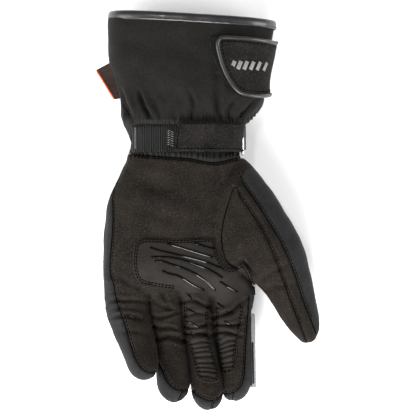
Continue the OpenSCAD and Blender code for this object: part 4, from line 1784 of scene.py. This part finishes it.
class GLOVE_OT_label(bpy.types.Operator):
    """Fold the woven side label into the cuff's side seam"""

    bl_idname = "glove.label"
    bl_label = "Side label"

    def execute(self, context):
        quad = ((-84.3, 105.4), (-72.0, 112.0), (-64.0, 84.2), (-70.6, 83.0))
        bm = bmesh.new()
        made = bmesh.ops.create_grid(bm, x_segments=10, y_segments=24, size=0.5)["verts"]
        a, b, c, d = (np.array(p, float) for p in quad)
        for v in made:
            s, t = v.co.x + 0.5, v.co.y + 0.5
            p = (a * (1 - s) + b * s) * t + (d * (1 - s) + c * s) * (1 - t)
            v.co = Vector((p[0], p[1], 26.6 + 1.2 * math.sin(t * 2.6) * (1 - s)))
        bm.normal_update()
        if sum(f.normal.z for f in bm.faces) < 0:
            bmesh.ops.reverse_faces(bm, faces=bm.faces)
        thicken(bm, 1.0)
        piece = lay(bm, "woven_label", "label")
        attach(piece, "cuff")
        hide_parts("side_label")
        bm = bmesh.new()
        path, ups = [], []
        for t in np.linspace(0.02, 0.98, 16):
            p = a * t + d * (1 - t)
            path.append(Vector((p[0] + 0.4, p[1] - 0.3, 26.7 + 1.2 * math.sin(t * 2.6))))
            ups.append(Vector((0, 0, 1)))
        tube(bm, path, 0.75, 8, 0.8, ups)
        piece = lay(bm, "label_edge", "stripe")
        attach(piece, "cuff")
        return {"FINISHED"}


class GLOVE_OT_stage(bpy.types.Operator):
    """Set the pale floor, the soft lights and the camera over the palm"""

    bl_idname = "glove.stage"
    bl_label = "Stage"

    def execute(self, context):
        scene = context.scene
        scene.view_settings.view_transform = "Standard"
        bm = bmesh.new()
        bmesh.ops.create_grid(bm, x_segments=2, y_segments=2, size=3.0)
        mesh = bpy.data.meshes.new("floor")
        bm.to_mesh(mesh)
        bm.free()
        floor = bpy.data.objects.new("floor", mesh)
        scene.collection.objects.link(floor)
        mat = Finish("floor", Roughness=0.9)
        mat.shader.inputs["Base Color"].default_value = (*scene.glove_colours.floor, 1)
        mesh.materials.append(mat.material)
        world = scene.world or bpy.data.worlds.new("room")
        scene.world = world
        world.use_nodes = True
        world.node_tree.nodes["Background"].inputs[0].default_value = (1, 1, 1, 1)
        world.node_tree.nodes["Background"].inputs[1].default_value = 0.30
        for name, place, size, power in (
            ("tips", (-0.25, -1.15, 0.85), 0.9, 44.0), ("left", (-1.15, -0.2, 0.60), 0.8, 19.0),
            ("right", (1.15, -0.1, 0.60), 0.8, 19.0), ("glint", (-0.30, 0.35, 1.4), 0.10, 3.0),
        ):
            light = bpy.data.lights.new(name, "AREA")
            light.shape, light.size, light.energy = "SQUARE", size, power
            lamp = bpy.data.objects.new(name, light)
            lamp.location = place
            lamp.rotation_mode = "QUATERNION"
            lamp.rotation_quaternion = (-Vector(place)).to_track_quat("-Z", "Y")
            scene.collection.objects.link(lamp)
        camera = bpy.data.objects.new("camera", bpy.data.cameras.new("camera"))
        scene.collection.objects.link(camera)
        height = 1.6
        camera.location = (0.00040, 0.00094, height)
        camera.rotation_mode = "QUATERNION"
        camera.rotation_quaternion = Vector((0, 0, -1)).to_track_quat("-Z", "Y")
        camera.data.sensor_width = 36
        camera.data.lens = 36 * (height - 0.035) / (416 * 0.7528 * MM)
        camera.data.clip_end = 20
        scene.camera = camera
        return {"FINISHED"}


class GLOVE_PT_panel(bpy.types.Panel):
    """Lists the glove's sizes, colours and pieces"""

    bl_label = "Glove"
    bl_idname = "GLOVE_PT_panel"
    bl_space_type = "VIEW_3D"
    bl_region_type = "UI"
    bl_category = "Glove"

    def draw(self, context):
        layout = self.layout
        for group in (context.scene.glove_sizes, context.scene.glove_colours):
            box = layout.box()
            for key in group.__annotations__:
                box.prop(group, key)
        for operator in OPERATORS:
            layout.operator(operator.bl_idname)


OPERATORS = (
    GLOVE_OT_skin, GLOVE_OT_lining, GLOVE_OT_binding, GLOVE_OT_grip, GLOVE_OT_seams,
    GLOVE_OT_strap, GLOVE_OT_metal, GLOVE_OT_wiper, GLOVE_OT_cuff_tab, GLOVE_OT_label, GLOVE_OT_stage,
)
CLASSES = (GloveSizes, GloveColours, *OPERATORS, GLOVE_PT_panel)


def register():
    for made in CLASSES:
        bpy.utils.register_class(made)
    bpy.types.Scene.glove_sizes = PointerProperty(type=GloveSizes)
    bpy.types.Scene.glove_colours = PointerProperty(type=GloveColours)


def unregister():
    del bpy.types.Scene.glove_colours
    del bpy.types.Scene.glove_sizes
    for made in reversed(CLASSES):
        bpy.utils.unregister_class(made)


def main():
    """Builds every piece in order."""
    register()
    for operator in OPERATORS:
        group, name = operator.bl_idname.split(".")
        getattr(getattr(bpy.ops, group), name)()


if __name__ == "__main__":
    main()
